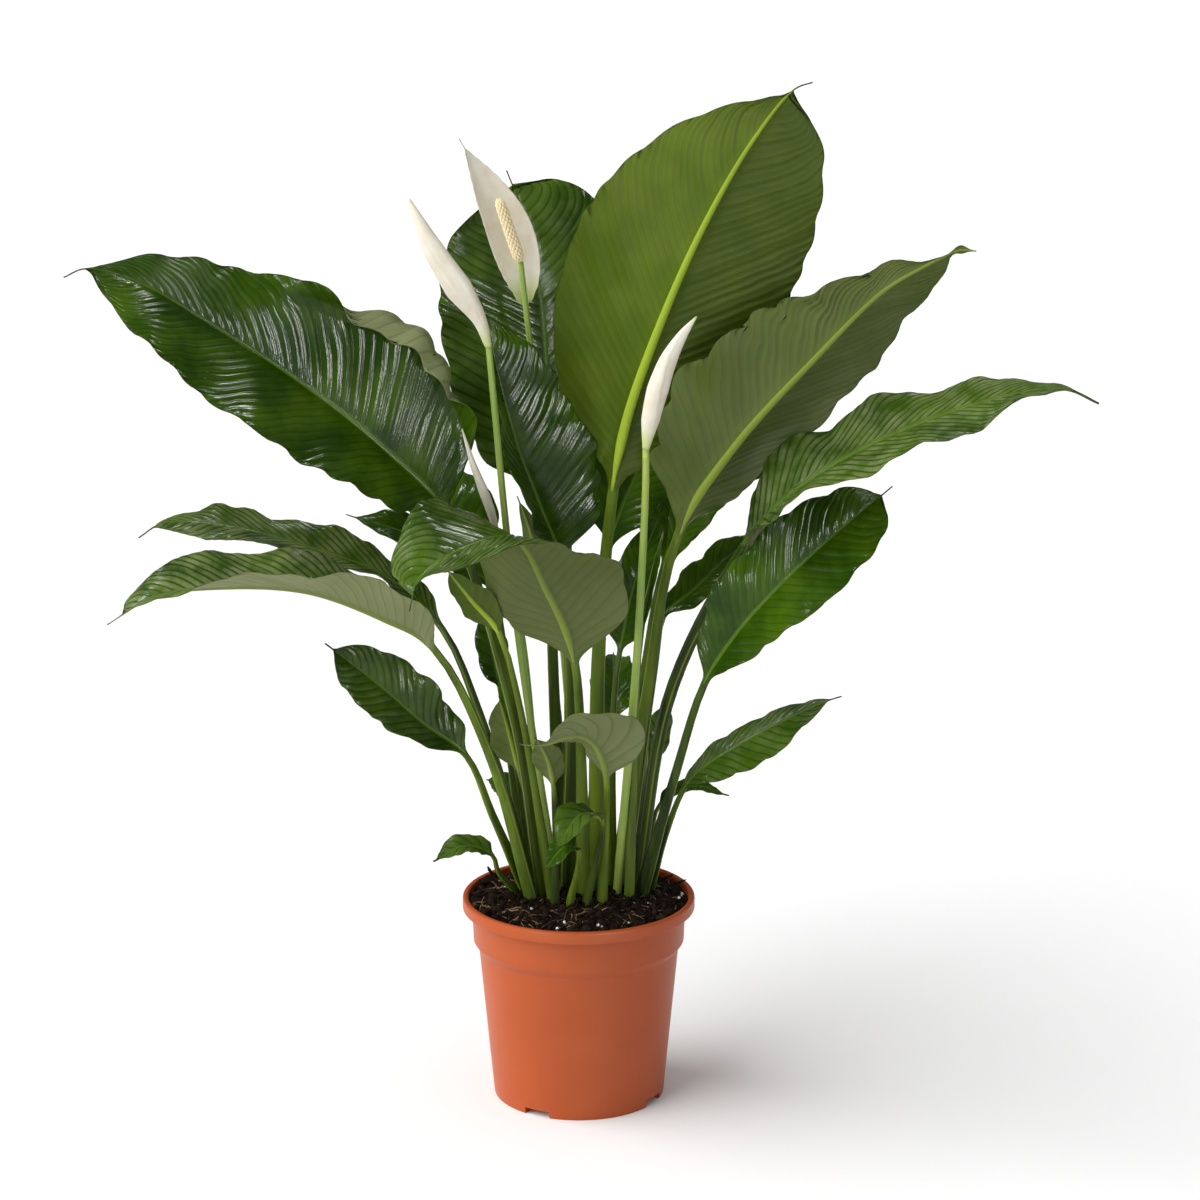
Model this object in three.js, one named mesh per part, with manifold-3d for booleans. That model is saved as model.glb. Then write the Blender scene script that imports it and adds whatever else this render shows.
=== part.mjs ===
// A peace lily in a 17 cm plastic nursery pot: pot, soil, every leaf with its stalk, and the flowers.
// Millimetres, +Z up. The origin is the middle of the pot's underside, on the surface it stands on;
// the plant's front is towards -Y.
import * as THREE from 'three';
import { mergeVertices } from 'three/addons/utils/BufferGeometryUtils.js';
import Module from 'manifold-3d';

const wasm = await Module();
wasm.setup();

// ---------------------------------------------------------------- driving dimensions
const GAP = 0.3; // clearance between pieces that touch

// Pot: a tapered wall, a step out to the collar and a rolled rim.
const POT_HEIGHT = 152;
const RIM_RADIUS = 85;
const RIM_DEPTH = 9; // height of the rolled rim
const RIM_WIDTH = 4.5; // across its flat top
const COLLAR_TOP_RADIUS = 78.2;
const COLLAR_LOW_RADIUS = 77.2;
const STEP_TOP = 118.5; // the slanted step under the collar
const STEP_LOW = 113;
const STEP_RADIUS = 73.3;
const BASE_RADIUS = 62.7;
const WALL = 1.5;
const FLOOR_TOP = 5.8;
const RECESS_HEIGHT = 4; // ring-shaped recess in the underside, where the drain holes open
const RECESS_INNER = 24;
const RECESS_OUTER = 54;
const DRAIN_COUNT = 8;
const DRAIN_RADIUS = 4.2;
const DRAIN_SIDES = 8;
const NOTCH_WIDTH = 20; // drain notches through the foot ring
const NOTCH_HEIGHT = 5;
const NOTCH_FIRST_ANGLE = 241;
const NOTCH_COUNT = 4;
const ROUND_SIDES = 36;
const FOOT_BEVEL = 0.9;
const RIM_BEVEL = 1.4; // of its outer edges
const RIM_INNER_BEVEL = 1.1;
const RIM_FLARE = 2; // above and below the rim's underside, where the inside widens into it

// Soil: nearly level with the rim, a little higher round the stalks.
const SOIL_EDGE = 147;
const SOIL_CROWN = 7;
const SOIL_DOME_RADIUS = 80;
const SOIL_LUMPS = [1.2, 0.8]; // heights of the broad and of the slanting lumps
const SOIL_RINGS = [1, 0.8, 0.58, 0.36, 0.16]; // parts of its radius where the top is shaped
const HOLE_SIDES = 6;
const BURIED_END = 120; // height of the buried end of every stalk
const STALK_OUT = 3; // how far a stalk rises straight out of the soil

// Leaf blades.
const BLADE_THICKNESS = 1;
const TIP_HALF_WIDTH = 0.8;
const RIB_HALF_WIDTH = 2.2; // of the raised rib under the blade
const RIB_TAPER = 0.8; // power by which its height dies away towards the tip
const NECK_PART = 0.12; // part of the midrib over which the round stalk flattens into the blade
const WAVE_PHASES = [2, 0.4]; // of the left and the right margin, in radians
const WAVE_FULL_AT = 15; // half width from which the margin waves at full height
const ROLL_SPARE = 0.46; // a half with a rolled margin is this much wider there
const ROLL_MAX_PART = 0.3; // of a half blade that rolls over
const CURL_RADIUS = 4; // of the curl of a rolled margin
const OUTLINE = [0.62, 0.8]; // powers: a low first one widens the neck, a low second one blunts the tip
const DRIP_TIP = 0.06; // part of the midrib that runs on as a thin drip tip

// Stations along a stalk and along a blade, and columns across half a blade, by size of leaf.
const STATIONS = {
  large: { stalk: 4, blade: [0, 0.04, 0.11, 0.21, 0.32, 0.43, 0.54, 0.65, 0.76, 0.86, 0.93, 1] },
  medium: { stalk: 3, blade: [0, 0.05, 0.14, 0.27, 0.41, 0.55, 0.69, 0.83, 0.93, 1] },
  plain: { stalk: 3, blade: [0, 0.06, 0.17, 0.32, 0.48, 0.64, 0.8, 0.92, 1] },
  small: { stalk: 2, blade: [0, 0.1, 0.3, 0.52, 0.75, 0.92, 1] },
  rolled: {
    stalk: 4,
    blade: [0, 0.04, 0.11, 0.16, 0.21, 0.26, 0.32, 0.37, 0.43, 0.485, 0.54, 0.59, 0.65, 0.76, 0.86, 0.93, 1],
  },
};

// Each leaf has, in this order:
// - foot: where its stalk leaves the soil [x, y]; stalk: points along the stalk
// - halves: the widths of its two halves, seen from the neck with the upper side up, left half first
// - rib: points along the midrib, from the neck to the tip
// - faces: the way its upper side faces, from neck to tip
// - fold: of each half blade towards the upper side, in degrees, at the neck and at the tip
// - wave: the height and number of its margin waves; stalkRadius: at the foot and at the neck
// - outline, rightOutline: the powers of the left and of the right half, where they aren't OUTLINE
// - rolled: a right margin that is rolled over, on the stretch [from, to] of the blade, by the width of the
//   rolled strip and how far it turns, in degrees
const LEAVES = {
  left_large: {
    size: 'large', foot: [-25, -5], stalk: [[-46, -20, 294]], halves: [60, 69],
    rib: [[-91, -34, 442], [-134, -46, 493], [-185, -56, 538], [-241, -66, 579], [-298, -76, 615],
      [-331, -81, 625], [-346, -83, 619]],
    faces: [[0.4, -0.8, 0.45], [0.2, -0.85, 0.45]], fold: [26, 14], wave: [4, 4], stalkRadius: [5.2, 3],
    outline: [0.6, 0.62], rightOutline: [0.45, 0.95],
    rolled: { from: 0, to: 0.64, width: 26, turn: 165 },
  },
  tall: {
    size: 'large', foot: [16, 8], stalk: [[14, 0, 320]], halves: [81, 97],
    rib: [[25, -7, 456], [34, -9, 505], [55, -24, 571], [86, -42, 647], [119, -55, 708],
      [146, -62, 743], [158, -66, 748]],
    faces: [[0.3, 0.95, 0.1], [0.2, 0.97, 0.2]], fold: [32, 20], wave: [4, 3], stalkRadius: [6.6, 3.8],
    outline: [0.46, 0.4], rightOutline: [0.66, 0.95],
  },
  right_upper: {
    size: 'large', foot: [30, 13], stalk: [[50, -6, 310]], halves: [60, 60],
    rib: [[71, -24, 428], [109, -38, 493], [163, -53, 558], [208, -66, 607], [235, -73, 625],
      [247, -77, 632], [257, -79, 637], [269, -82, 637]],
    faces: [[-0.3, 0.9, 0.15], [-0.2, 0.92, 0.15]], fold: [30, 22], wave: [4, 4], stalkRadius: [5, 3.2],
    outline: [0.6, 0.74], rightOutline: [0.8, 1.5],
  },
  right_long: {
    size: 'large', foot: [42, 11], stalk: [[66, 4, 303]], halves: [34, 56],
    rib: [[117, -26, 418], [150, -42, 461], [203, -58, 499], [278, -68, 531], [331, -73, 541],
      [356, -76, 531]],
    faces: [[-0.4, -0.35, 0.8], [-0.2, -0.5, 0.85]], fold: [34, 4], wave: [5, 4], stalkRadius: [5.6, 4.4],
    outline: [0.4, 0.95], rightOutline: [0.7, 1.2],
  },
  back_left: {
    size: 'large', foot: [-12, 26], stalk: [[-19, 30, 331]], halves: [75, 63],
    rib: [[-20, 34, 440], [-22, 44, 511], [-27, 54, 582], [-39, 60, 642], [-51, 62, 674]],
    faces: [[0, -0.95, 0.1], [0, -0.9, 0.4]], fold: [20, 10], wave: [3.5, 3], stalkRadius: [5, 3.2],
    outline: [0.46, 0.34], rightOutline: [0.6, 0.31],
  },
  centre_dark: {
    size: 'large', foot: [-8, 8], stalk: [[-6, 8, 300]], halves: [30, 52],
    rib: [[-13, -2, 403], [-28, -9, 447], [-42, -15, 487], [-51, -18, 521], [-60, -19, 561],
      [-67, -18, 594]],
    faces: [[0.66, -0.7, 0.2], [0.66, -0.68, 0.3]], fold: [34, 24], wave: [3, 3], stalkRadius: [5, 3],
    outline: [0.5, 1], rightOutline: [0.42, 0.72],
  },
  front_arch: {
    size: 'large', foot: [4, -9], stalk: [[2, -28, 270]], halves: [56, 54],
    rib: [[-2, -46, 339], [-10, -52, 369], [-23, -60, 399], [-34, -72, 426], [-45, -90, 442],
      [-61, -107, 444], [-78, -120, 440], [-95, -130, 433], [-108, -136, 421], [-113, -139, 401]],
    faces: [[0.3, 0.95, 0.2], [0.25, 0.93, 0.3], [0.2, 0.1, 0.97], [-0.25, -0.65, 0.7],
      [-0.35, -0.75, 0.55]],
    fold: [6, 12], wave: [3, 3], stalkRadius: [4.6, 3], outline: [0.55, 1.25], rightOutline: [0.5, 0.45],
  },
  right_mid: {
    size: 'medium', foot: [46, -4], stalk: [[70, -20, 250]], halves: [36, 39],
    rib: [[90, -30, 320], [112, -38, 359], [145, -48, 400], [189, -56, 444], [218, -60, 470]],
    faces: [[-0.25, -0.8, 0.5], [-0.25, -0.8, 0.5]], fold: [24, 10], wave: [3, 3], stalkRadius: [4.2, 2.7],
    outline: [0.6, 0.5], rightOutline: [0.73, 0.38],
  },
  right_low: {
    size: 'medium', foot: [52, 8], stalk: [[64, -2, 200]], halves: [11, 24],
    rib: [[75, 0, 229], [87, -5, 247], [124, -12, 274], [174, -24, 304], [188, -28, 310]],
    faces: [[-0.15, -0.8, 0.5], [-0.15, -0.8, 0.5]], fold: [22, 12], wave: [2, 3], stalkRadius: [3, 2],
    outline: [0.8, 0.8], rightOutline: [1.2, 1.2],
  },
  left_upper: {
    size: 'medium', foot: [-34, 16], stalk: [[-72, 4, 290]], halves: [24, 21],
    rib: [[-97, -4, 353], [-137, -12, 394], [-189, -24, 418], [-249, -40, 438], [-290, -52, 442],
      [-305, -60, 434]],
    faces: [[0.3, -0.3, 0.85], [0.1, -0.4, 0.9]], fold: [24, 4], wave: [3.5, 3], stalkRadius: [4.4, 2.6],
    outline: [0.6, 0.4], rightOutline: [0.45, 0.6],
  },
  left_lower: {
    size: 'medium', foot: [-35, -12], stalk: [[-64, -34, 271]], halves: [34, 38],
    rib: [[-101, -50, 351], [-135, -68, 377], [-186, -88, 402], [-242, -104, 409], [-288, -114, 405],
      [-320, -120, 387]],
    faces: [[0.3, 0.3, 0.85], [0.1, 0.02, 1], [0, -0.2, 1]], fold: [48, 16], wave: [3, 3],
    stalkRadius: [4.8, 2.8], outline: [0.25, 0.45], rightOutline: [0.4, 0.42],
  },
  left_small: {
    size: 'medium', foot: [-39, 4], stalk: [[-62, -16, 217]], halves: [25, 27],
    rib: [[-80, -24, 264], [-110, -36, 292], [-137, -46, 320], [-167, -58, 349], [-177, -62, 358]],
    faces: [[0.3, -0.8, 0.45], [0.3, -0.8, 0.45]], fold: [24, 10], wave: [2.5, 3], stalkRadius: [3.8, 2.3],
    outline: [1, 0.57], rightOutline: [0.7, 0.7],
  },
  front_small: {
    size: 'medium', foot: [17, -21], stalk: [[20, -32, 220]], halves: [35, 10],
    rib: [[20, -40, 252], [17, -46, 268], [11, -53, 282], [1, -60, 290], [-11, -66, 290],
      [-23, -70, 287], [-42, -74, 288]],
    faces: [[0.2, 0.9, 0.3], [0.15, 0.92, 0.3], [0.1, 0.92, 0.35]], fold: [14, 10], wave: [2, 3],
    stalkRadius: [3.2, 2.1], outline: [1.2, 2.6],
  },
  behind_right: {
    size: 'plain', foot: [33, 28], stalk: [[54, 24, 310]], halves: [18, 18],
    rib: [[66, 22, 394], [86, 24, 438], [118, 28, 466], [160, 31, 498], [192, 33, 524]],
    faces: [[-0.3, -0.8, 0.5], [-0.3, -0.8, 0.5]], fold: [20, 10], wave: [3, 3], stalkRadius: [4.2, 2.5],
  },
  behind_mid_right: {
    size: 'plain', foot: [45, 40], stalk: [[50, 50, 270]], halves: [15, 15],
    rib: [[62, 52, 348], [84, 60, 366], [114, 70, 392], [142, 80, 408]],
    faces: [[-0.3, -0.8, 0.5], [-0.2, -0.8, 0.6]], fold: [20, 12], wave: [2.5, 3], stalkRadius: [3.8, 2.2],
  },
  back_centre: {
    size: 'plain', foot: [8, 40], stalk: [[16, 52, 300]], halves: [34, 34],
    rib: [[22, 64, 396], [40, 78, 446], [72, 92, 510], [104, 102, 560]],
    faces: [[-0.2, -0.9, 0.3], [-0.2, -0.8, 0.5]], fold: [20, 10], wave: [3, 3], stalkRadius: [4, 2.4],
  },
  left_hidden: {
    size: 'plain', foot: [-26, 37], stalk: [[-50, 20, 300]], halves: [20, 20],
    rib: [[-64, 14, 380], [-92, 8, 404], [-127, 2, 424], [-165, -4, 438]],
    faces: [[0.3, -0.6, 0.7], [0.2, -0.5, 0.8]], fold: [20, 10], wave: [2.5, 3], stalkRadius: [3.6, 2.2],
  },
  rear_left: {
    size: 'plain', foot: [-36, 48], stalk: [[-56, 76, 280]], halves: [40, 40],
    rib: [[-78, 102, 360], [-104, 130, 412], [-136, 164, 440], [-160, 190, 440]],
    faces: [[0.4, -0.6, 0.7], [0.3, -0.3, 0.9]], fold: [22, 8], wave: [3, 3], stalkRadius: [4.2, 2.6],
  },
  rear_right: {
    size: 'plain', foot: [30, 59], stalk: [[48, 92, 290]], halves: [42, 42],
    rib: [[64, 120, 372], [90, 152, 430], [124, 188, 462], [150, 216, 466]],
    faces: [[-0.4, -0.6, 0.7], [-0.2, -0.3, 0.9]], fold: [22, 8], wave: [3, 3], stalkRadius: [4.2, 2.6],
  },
  rear_middle: {
    size: 'plain', foot: [-6, 56], stalk: [[-8, 86, 300]], halves: [46, 46],
    rib: [[-8, 108, 396], [-4, 134, 466], [4, 168, 520], [12, 200, 540]],
    faces: [[0, -0.9, 0.4], [0.05, -0.5, 0.85]], fold: [22, 8], wave: [3, 3], stalkRadius: [4.4, 2.8],
  },
  rear_low: {
    size: 'plain', foot: [14, 64], stalk: [[20, 92, 206]], halves: [19, 19],
    rib: [[25, 112, 250], [26, 136, 270], [26, 162, 282], [26, 188, 284]],
    faces: [[0, -0.7, 0.7], [0, -0.3, 0.95]], fold: [24, 10], wave: [2.5, 3], stalkRadius: [3.4, 2.1],
  },
  upright_back: {
    size: 'small', foot: [24, 27], stalk: [[26, 34, 292]], halves: [18, 18],
    rib: [[30, 34, 326], [40, 37, 374], [52, 39, 410], [61, 40, 432]],
    faces: [[-0.3, -0.9, 0.3], [-0.3, -0.9, 0.3]], fold: [20, 12], wave: [1.5, 2], stalkRadius: [3.2, 2],
  },
  under_arch: {
    size: 'small', foot: [-19, -16], stalk: [[-42, -32, 306]], halves: [14, 14],
    rib: [[-56, -38, 360], [-74, -44, 384], [-92, -50, 409]], faces: [[0.2, 0.9, 0.2], [0.2, 0.9, 0.2]],
    fold: [16, 10], wave: [1.5, 2], stalkRadius: [3.2, 2],
  },
  dark_upright: {
    size: 'small', foot: [-40, 27], stalk: [[-54, 32, 272]], halves: [12, 13],
    rib: [[-58, 34, 300], [-65, 35, 334], [-69, 36, 362]], faces: [[0.1, -0.95, 0.2], [0.1, -0.95, 0.2]],
    fold: [20, 10], wave: [1, 2], stalkRadius: [2.8, 1.8],
  },
  dark_low: {
    size: 'small', foot: [-28, 11], stalk: [[-35, 6, 212]], halves: [16, 17],
    rib: [[-43, 0, 246], [-50, -8, 278], [-57, -14, 306]], faces: [[0.1, 0.9, 0.3], [0.1, 0.9, 0.3]],
    fold: [20, 10], wave: [1, 2], stalkRadius: [2.8, 1.8],
  },
  centre_low: {
    size: 'small', foot: [-17, -28], stalk: [[-16, -36, 226]], halves: [12, 12],
    rib: [[-18, -44, 250], [-22, -54, 272], [-30, -62, 290]], faces: [[0.1, 0.9, 0.2], [0.1, 0.9, 0.2]],
    fold: [20, 10], wave: [1, 2], stalkRadius: [2.6, 1.6],
  },
  grey_left: {
    size: 'small', foot: [-43, 38], stalk: [[-49, 42, 192]], halves: [11, 11],
    rib: [[-49, 46, 208], [-59, 52, 220], [-69, 56, 222]], faces: [[0.3, -0.6, 0.7], [0.2, -0.5, 0.8]],
    fold: [20, 10], wave: [1, 2], stalkRadius: [2.6, 1.7],
  },
  pale_tip: {
    size: 'small', foot: [-3, 38], stalk: [[-17, 66, 288]], halves: [9, 9],
    rib: [[-24, 76, 350], [-33, 82, 396], [-45, 84, 432]], faces: [[0.1, 0.9, 0.2], [0.1, 0.9, 0.2]],
    fold: [20, 14], wave: [1, 2], stalkRadius: [2.8, 1.8],
  },
  right_tiny: {
    size: 'small', foot: [33, 46], stalk: [[46, 54, 214]], halves: [12, 12],
    rib: [[52, 58, 236], [60, 66, 258], [66, 76, 276]], faces: [[-0.3, -0.8, 0.5], [-0.2, -0.8, 0.5]],
    fold: [20, 10], wave: [1, 2], stalkRadius: [2.8, 1.8],
  },
  right_curl: {
    size: 'small', foot: [53, 22], stalk: [[54, 44, 184]], halves: [8, 8],
    rib: [[60, 50, 204], [84, 54, 217], [112, 56, 210]], faces: [[-0.2, -0.5, 0.9], [0.2, -0.5, 0.9]],
    fold: [30, 14], wave: [1, 2], stalkRadius: [2.4, 1.6],
  },
  left_lowest: {
    size: 'small', foot: [-45, -6], stalk: [[-58, -22, 176]], halves: [12, 12],
    rib: [[-62, -26, 190], [-82, -34, 200], [-104, -40, 190]], faces: [[0.1, -0.5, 0.9],
      [-0.2, -0.5, 0.9]],
    fold: [20, 10], wave: [1, 2], stalkRadius: [2.6, 1.7],
  },
  front_tiny: {
    size: 'small', foot: [6, -26], stalk: [[16, -34, 205]], halves: [15, 15],
    rib: [[17, -40, 222], [2, -54, 230], [-16, -62, 206]], faces: [[0.1, 0.1, 1], [-0.4, -0.7, 0.5]],
    fold: [14, 14], wave: [1, 2], stalkRadius: [2.6, 1.7],
  },
  front_lowest: {
    size: 'small', foot: [-6, -30], stalk: [[0, -38, 188]], halves: [10, 10],
    rib: [[0, -42, 200], [-10, -52, 205], [-24, -58, 190]], faces: [[0.1, 0.1, 1], [-0.4, -0.7, 0.5]],
    fold: [14, 14], wave: [1, 2], stalkRadius: [2.4, 1.6],
  },
  young_rolled: {
    size: 'small', foot: [37, -12], stalk: [[43, -22, 340]], halves: [5, 5],
    rib: [[45, -25, 358], [52, -28, 396], [61, -30, 433]], faces: [[0.3, -0.9, 0.2], [0.3, -0.9, 0.2]],
    fold: [60, 60], wave: [0, 1], stalkRadius: [3, 2.2],
  },
};

// Flower stems: foot [x, y], then points up to the end of the stem, and its radius at the foot and the end.
const STEMS = {
  open: {
    foot: [2, 22], radius: [3, 2],
    points: [[-12, 20, 343], [-30, 14, 520], [-40, 2, 617]],
  },
  curved: {
    foot: [-16, -4], radius: [3, 2.2],
    points: [[-42, -22, 348], [-51, -32, 440], [-57, -44, 516], [-61, -50, 566]],
  },
  right: {
    foot: [28, -6], radius: [3.2, 2.4],
    points: [[42, -40, 351], [47, -70, 475], [47, -76, 500]],
  },
  bud: {
    foot: [-26, 24], radius: [2.4, 1.8],
    points: [[-40, 4, 344], [-50, -12, 396], [-57, -30, 430]],
  },
};

// The open spathe: a cupped white blade behind the spadix, its foot against the stem.
const OPEN_SPATHE = {
  rib: [[-37, 9.4, 584], [-39, 12, 606], [-48, 15, 638], [-63, 12, 669], [-76, 4, 692], [-82, -4, 704]],
  halves: [18.5, 17], faces: [[0.1, -0.95, 0.1], [0.1, -0.95, 0.2]], fold: [24, 20], wave: [0.8, 2],
  footHalf: 2.2, outline: [0.75, 1.15],
};
const SPADIX = { top: [-55, -2, 662], radius: 4.1, bump: 0.45, sides: 10, rings: 13 };
const SPADIX_END = 0.12; // square of how wide its blunt ends are
const SPADIX_TAPER = 0.12;

// Closed spathes: rolled white sheaths at the ends of their stems, by the points of their centre line beyond
// the stem, and the half widths and half depths along it, from the stem on.
const CLOSED_SPATHES = {
  curved: {
    line: [[-67, -52, 585], [-81, -54, 607], [-98, -54, 634], [-109, -52, 656], [-114, -50, 668]],
    halfWidth: [2.4, 5, 10, 7.6, 3.6, 0.8], halfDepth: [2.4, 4.2, 6.6, 5, 2.6, 0.8],
    faces: [-0.3, -0.95, 0],
  },
  right: {
    line: [[50, -78, 520], [55, -80, 542], [62, -80, 562], [72, -80, 580], [81, -80, 592]],
    halfWidth: [2.4, 6.4, 7.6, 6.2, 3.4, 0.8], halfDepth: [2.4, 5, 5.8, 4.6, 2.6, 0.8],
    faces: [0.2, -0.97, 0],
  },
  bud: {
    line: [[-61, -38, 448], [-66, -43, 464], [-73, -46, 484], [-80, -47, 508]],
    halfWidth: [2, 3.2, 3.4, 2.2, 0.7], halfDepth: [2, 3, 3.2, 2, 0.7],
    faces: [0, -1, 0],
  },
};
const SHEATH_SIDES = 12;
const SHEATH_STEPS = 9;
const SEAM_HEIGHT = 0.22; // of the overlapping edge, as a part of the half width
const SEAM_TWIST = 1.4; // radians it winds round the sheath from foot to tip
const SEAM_SHARPNESS = 6;

// Colours, from the photograph.
const COLOURS = {
  pot: { color: 0xc06438, roughness: 0.5 },
  soil: { color: 0x2c221c, roughness: 1 },
  leaf: { color: 0x2f5c1e, roughness: 0.35 },
  leafUnderside: { color: 0x66822c, roughness: 0.5 },
  stem: { color: 0x86a83c, roughness: 0.45 },
  spathe: { color: 0xf2ebdf, roughness: 0.55 },
  spadix: { color: 0xe8d494, roughness: 0.7 },
};
const UNDERSIDE_OUT = [
  'tall', 'right_upper', 'front_arch', 'front_small', 'under_arch', 'dark_low', 'centre_low',
];

// ---------------------------------------------------------------- solids
function vector([x, y, z]) {
  return new THREE.Vector3(x, y, z);
}

function radians(degrees) {
  return THREE.MathUtils.degToRad(degrees);
}

// A closed solid through rings of equally many points, with a point at each end. Where turned(k) holds, the
// triangles between the points k and k + 1 are split the other way.
function loft(rings, turned = () => false) {
  const count = rings[0].length;
  const first = new THREE.Vector3();
  const last = new THREE.Vector3();
  rings[0].forEach((point) => first.addScaledVector(point, 1 / count));
  rings.at(-1).forEach((point) => last.addScaledVector(point, 1 / count));
  const points = [...rings.flat(), first, last];
  const index = [];
  for (let k = 0; k < count; k++) {
    const next = (k + 1) % count;
    const end = (rings.length - 1) * count;
    index.push(points.length - 2, next, k, points.length - 1, end + k, end + next);
    for (let ring = 0; ring < rings.length - 1; ring++) {
      const a = ring * count + k;
      const b = ring * count + next;
      if (turned(k)) index.push(a, b, a + count, b, b + count, a + count);
      else index.push(a, b, b + count, a, b + count, a + count);
    }
  }
  const geometry = new THREE.BufferGeometry().setFromPoints(points);
  geometry.setIndex(index);
  geometry.computeVertexNormals();
  return geometry;
}

// Points at even steps of length along part of a curve, with their tangents.
function pathAt(curve, from, to) {
  const steps = 80;
  const lengths = [0];
  for (let i = 1; i <= steps; i++) {
    const a = curve.getPoint(from + ((to - from) * (i - 1)) / steps);
    const b = curve.getPoint(from + ((to - from) * i) / steps);
    lengths.push(lengths[i - 1] + a.distanceTo(b));
  }
  return (fraction) => {
    const wanted = fraction * lengths[steps];
    let i = 1;
    while (i < steps && lengths[i] < wanted) i++;
    const part = (wanted - lengths[i - 1]) / (lengths[i] - lengths[i - 1]);
    const u = from + ((to - from) * (i - 1 + part)) / steps;
    return { point: curve.getPoint(u), tangent: curve.getTangent(THREE.MathUtils.clamp(u, 0.001, 0.999)) };
  };
}

// The way a blade's upper side faces at fraction t, square to the tangent.
function facingAt(faces, t, tangent) {
  const place = t * (faces.length - 1);
  const from = Math.min(Math.floor(place), faces.length - 2);
  const facing = vector(faces[from]).normalize().lerp(vector(faces[from + 1]).normalize(), place - from);
  return facing.addScaledVector(tangent, -facing.dot(tangent)).normalize();
}

function soilHeight(x, y) {
  const dome = SOIL_CROWN * (1 - (x * x + y * y) / SOIL_DOME_RADIUS ** 2);
  const broad = SOIL_LUMPS[0] * Math.sin(0.19 * x + 1) * Math.sin(0.23 * y);
  const slanting = SOIL_LUMPS[1] * Math.sin(0.41 * x + 0.33 * y);
  return SOIL_EDGE + dome + broad + slanting;
}

// Where a stalk or stem leaves the soil.
function collarPoint([x, y]) {
  return new THREE.Vector3(x, y, soilHeight(x, y) + STALK_OUT);
}

// Outline of a blade: how wide it is at fraction t from neck to tip, as a part of its greatest width.
function outlineAt([low, high], t) {
  const widest = low / (low + high);
  const u = Math.min(1, t / (1 - DRIP_TIP));
  return (u / widest) ** low * ((1 - u) / (1 - widest)) ** high;
}

// Distance out from the midrib and height above the blade of the point s across its half, and how far the
// blade is turned over there. A rolled right margin curls over towards the upper side and lies back above it
// as a flat strip.
function rolledMargin(rolled, t, half, s) {
  const plain = half * Math.abs(s);
  if (!rolled || s <= 0 || t <= rolled.from || t >= rolled.to) return [plain, 0, 0];
  const amount = Math.sin((Math.PI * (t - rolled.from)) / (rolled.to - rolled.from)) ** 2;
  const turn = radians(rolled.turn) * amount;
  const wide = half * (1 + ROLL_SPARE * amount);
  const start = wide - Math.min(rolled.width, ROLL_MAX_PART * wide);
  const beyond = wide * s - start;
  if (beyond <= 0) return [wide * s, 0, 0];
  const curl = Math.min(turn, beyond / CURL_RADIUS);
  const strip = beyond - curl * CURL_RADIUS;
  return [
    start + CURL_RADIUS * Math.sin(curl) + strip * Math.cos(curl),
    CURL_RADIUS * (1 - Math.cos(curl)) + strip * Math.sin(curl),
    curl,
  ];
}

const RIB_COLUMN = 0.1; // stands for the edges of the midrib
const RIB_MAX_PART = 0.3; // of a narrow half
const WIDE_COLUMNS = [-1, -0.5, -RIB_COLUMN, 0, RIB_COLUMN, 0.5, 1];
const ROLLED_COLUMNS = [-1, -0.5, -RIB_COLUMN, 0, RIB_COLUMN, 0.5, 0.72, 0.8, 0.86, 1];

// One section of a blade: points [across, up] over the upper side from left to right, and back below.
function bladeSection(leaf, t, columns) {
  const left = leaf.outline ?? OUTLINE;
  const outlines = [left, leaf.rightOutline ?? left];
  const halves = leaf.halves.map((half, i) =>
    Math.max(half * outlineAt(outlines[i], t), leaf.footHalf * (1 - t), TIP_HALF_WIDTH));
  const fold = radians(THREE.MathUtils.lerp(leaf.fold[0], leaf.fold[1], t));
  const [height, waves] = leaf.wave;
  const rib = leaf.footHalf * (1 - t) ** RIB_TAPER;
  const middle = columns.map((column) => {
    const half = halves[column < 0 ? 0 : 1];
    const ribEdge = Math.sign(column) * Math.min(RIB_MAX_PART, RIB_HALF_WIDTH / half);
    const s = Math.abs(column) === RIB_COLUMN ? ribEdge : column;
    const phase = WAVE_PHASES[s < 0 ? 0 : 1];
    const swing = Math.sin(2 * Math.PI * waves * t + phase) * Math.min(1, half / WAVE_FULL_AT);
    const waved = height * s * s * swing;
    const [out, over, turned] = rolledMargin(leaf.rolled, t, half, s);
    return [
      Math.sign(s) * (out * Math.cos(fold) - over * Math.sin(fold)),
      out * Math.sin(fold) + over * Math.cos(fold) + waved,
      turned,
    ];
  });
  const beside = (distance) => ([x, z, turned]) =>
    [x - distance * Math.sin(turned), z + distance * Math.cos(turned)];
  const upper = middle.map(beside(BLADE_THICKNESS / 2));
  const lower = middle.map(beside(-BLADE_THICKNESS / 2));
  lower[columns.indexOf(0)][1] -= rib;
  return [...upper, ...lower.reverse()];
}

// A round section with as many points, in the same order.
function roundSection(radius, columns) {
  const count = columns.length;
  const points = [];
  for (let k = 0; k < 2 * count; k++) {
    const angle = Math.PI - ((k + 0.5) * Math.PI) / count;
    points.push([radius * Math.cos(angle), radius * Math.sin(angle)]);
  }
  return points;
}

function placeSection(section, point, tangent, facing) {
  const side = new THREE.Vector3().crossVectors(tangent, facing);
  return section.map(([x, z]) => point.clone().addScaledVector(side, x).addScaledVector(facing, z));
}

const NARROW_COLUMNS = [-1, -0.5, 0, 0.5, 1];

// Splits both faces of a blade alike, along the lines of its side veins.
function veinwise(count) {
  return (k) => {
    const onTop = k < count;
    const column = onTop ? k : 2 * count - 2 - k;
    const leftHalf = column < (count - 1) / 2;
    return onTop === leftHalf;
  };
}

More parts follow.
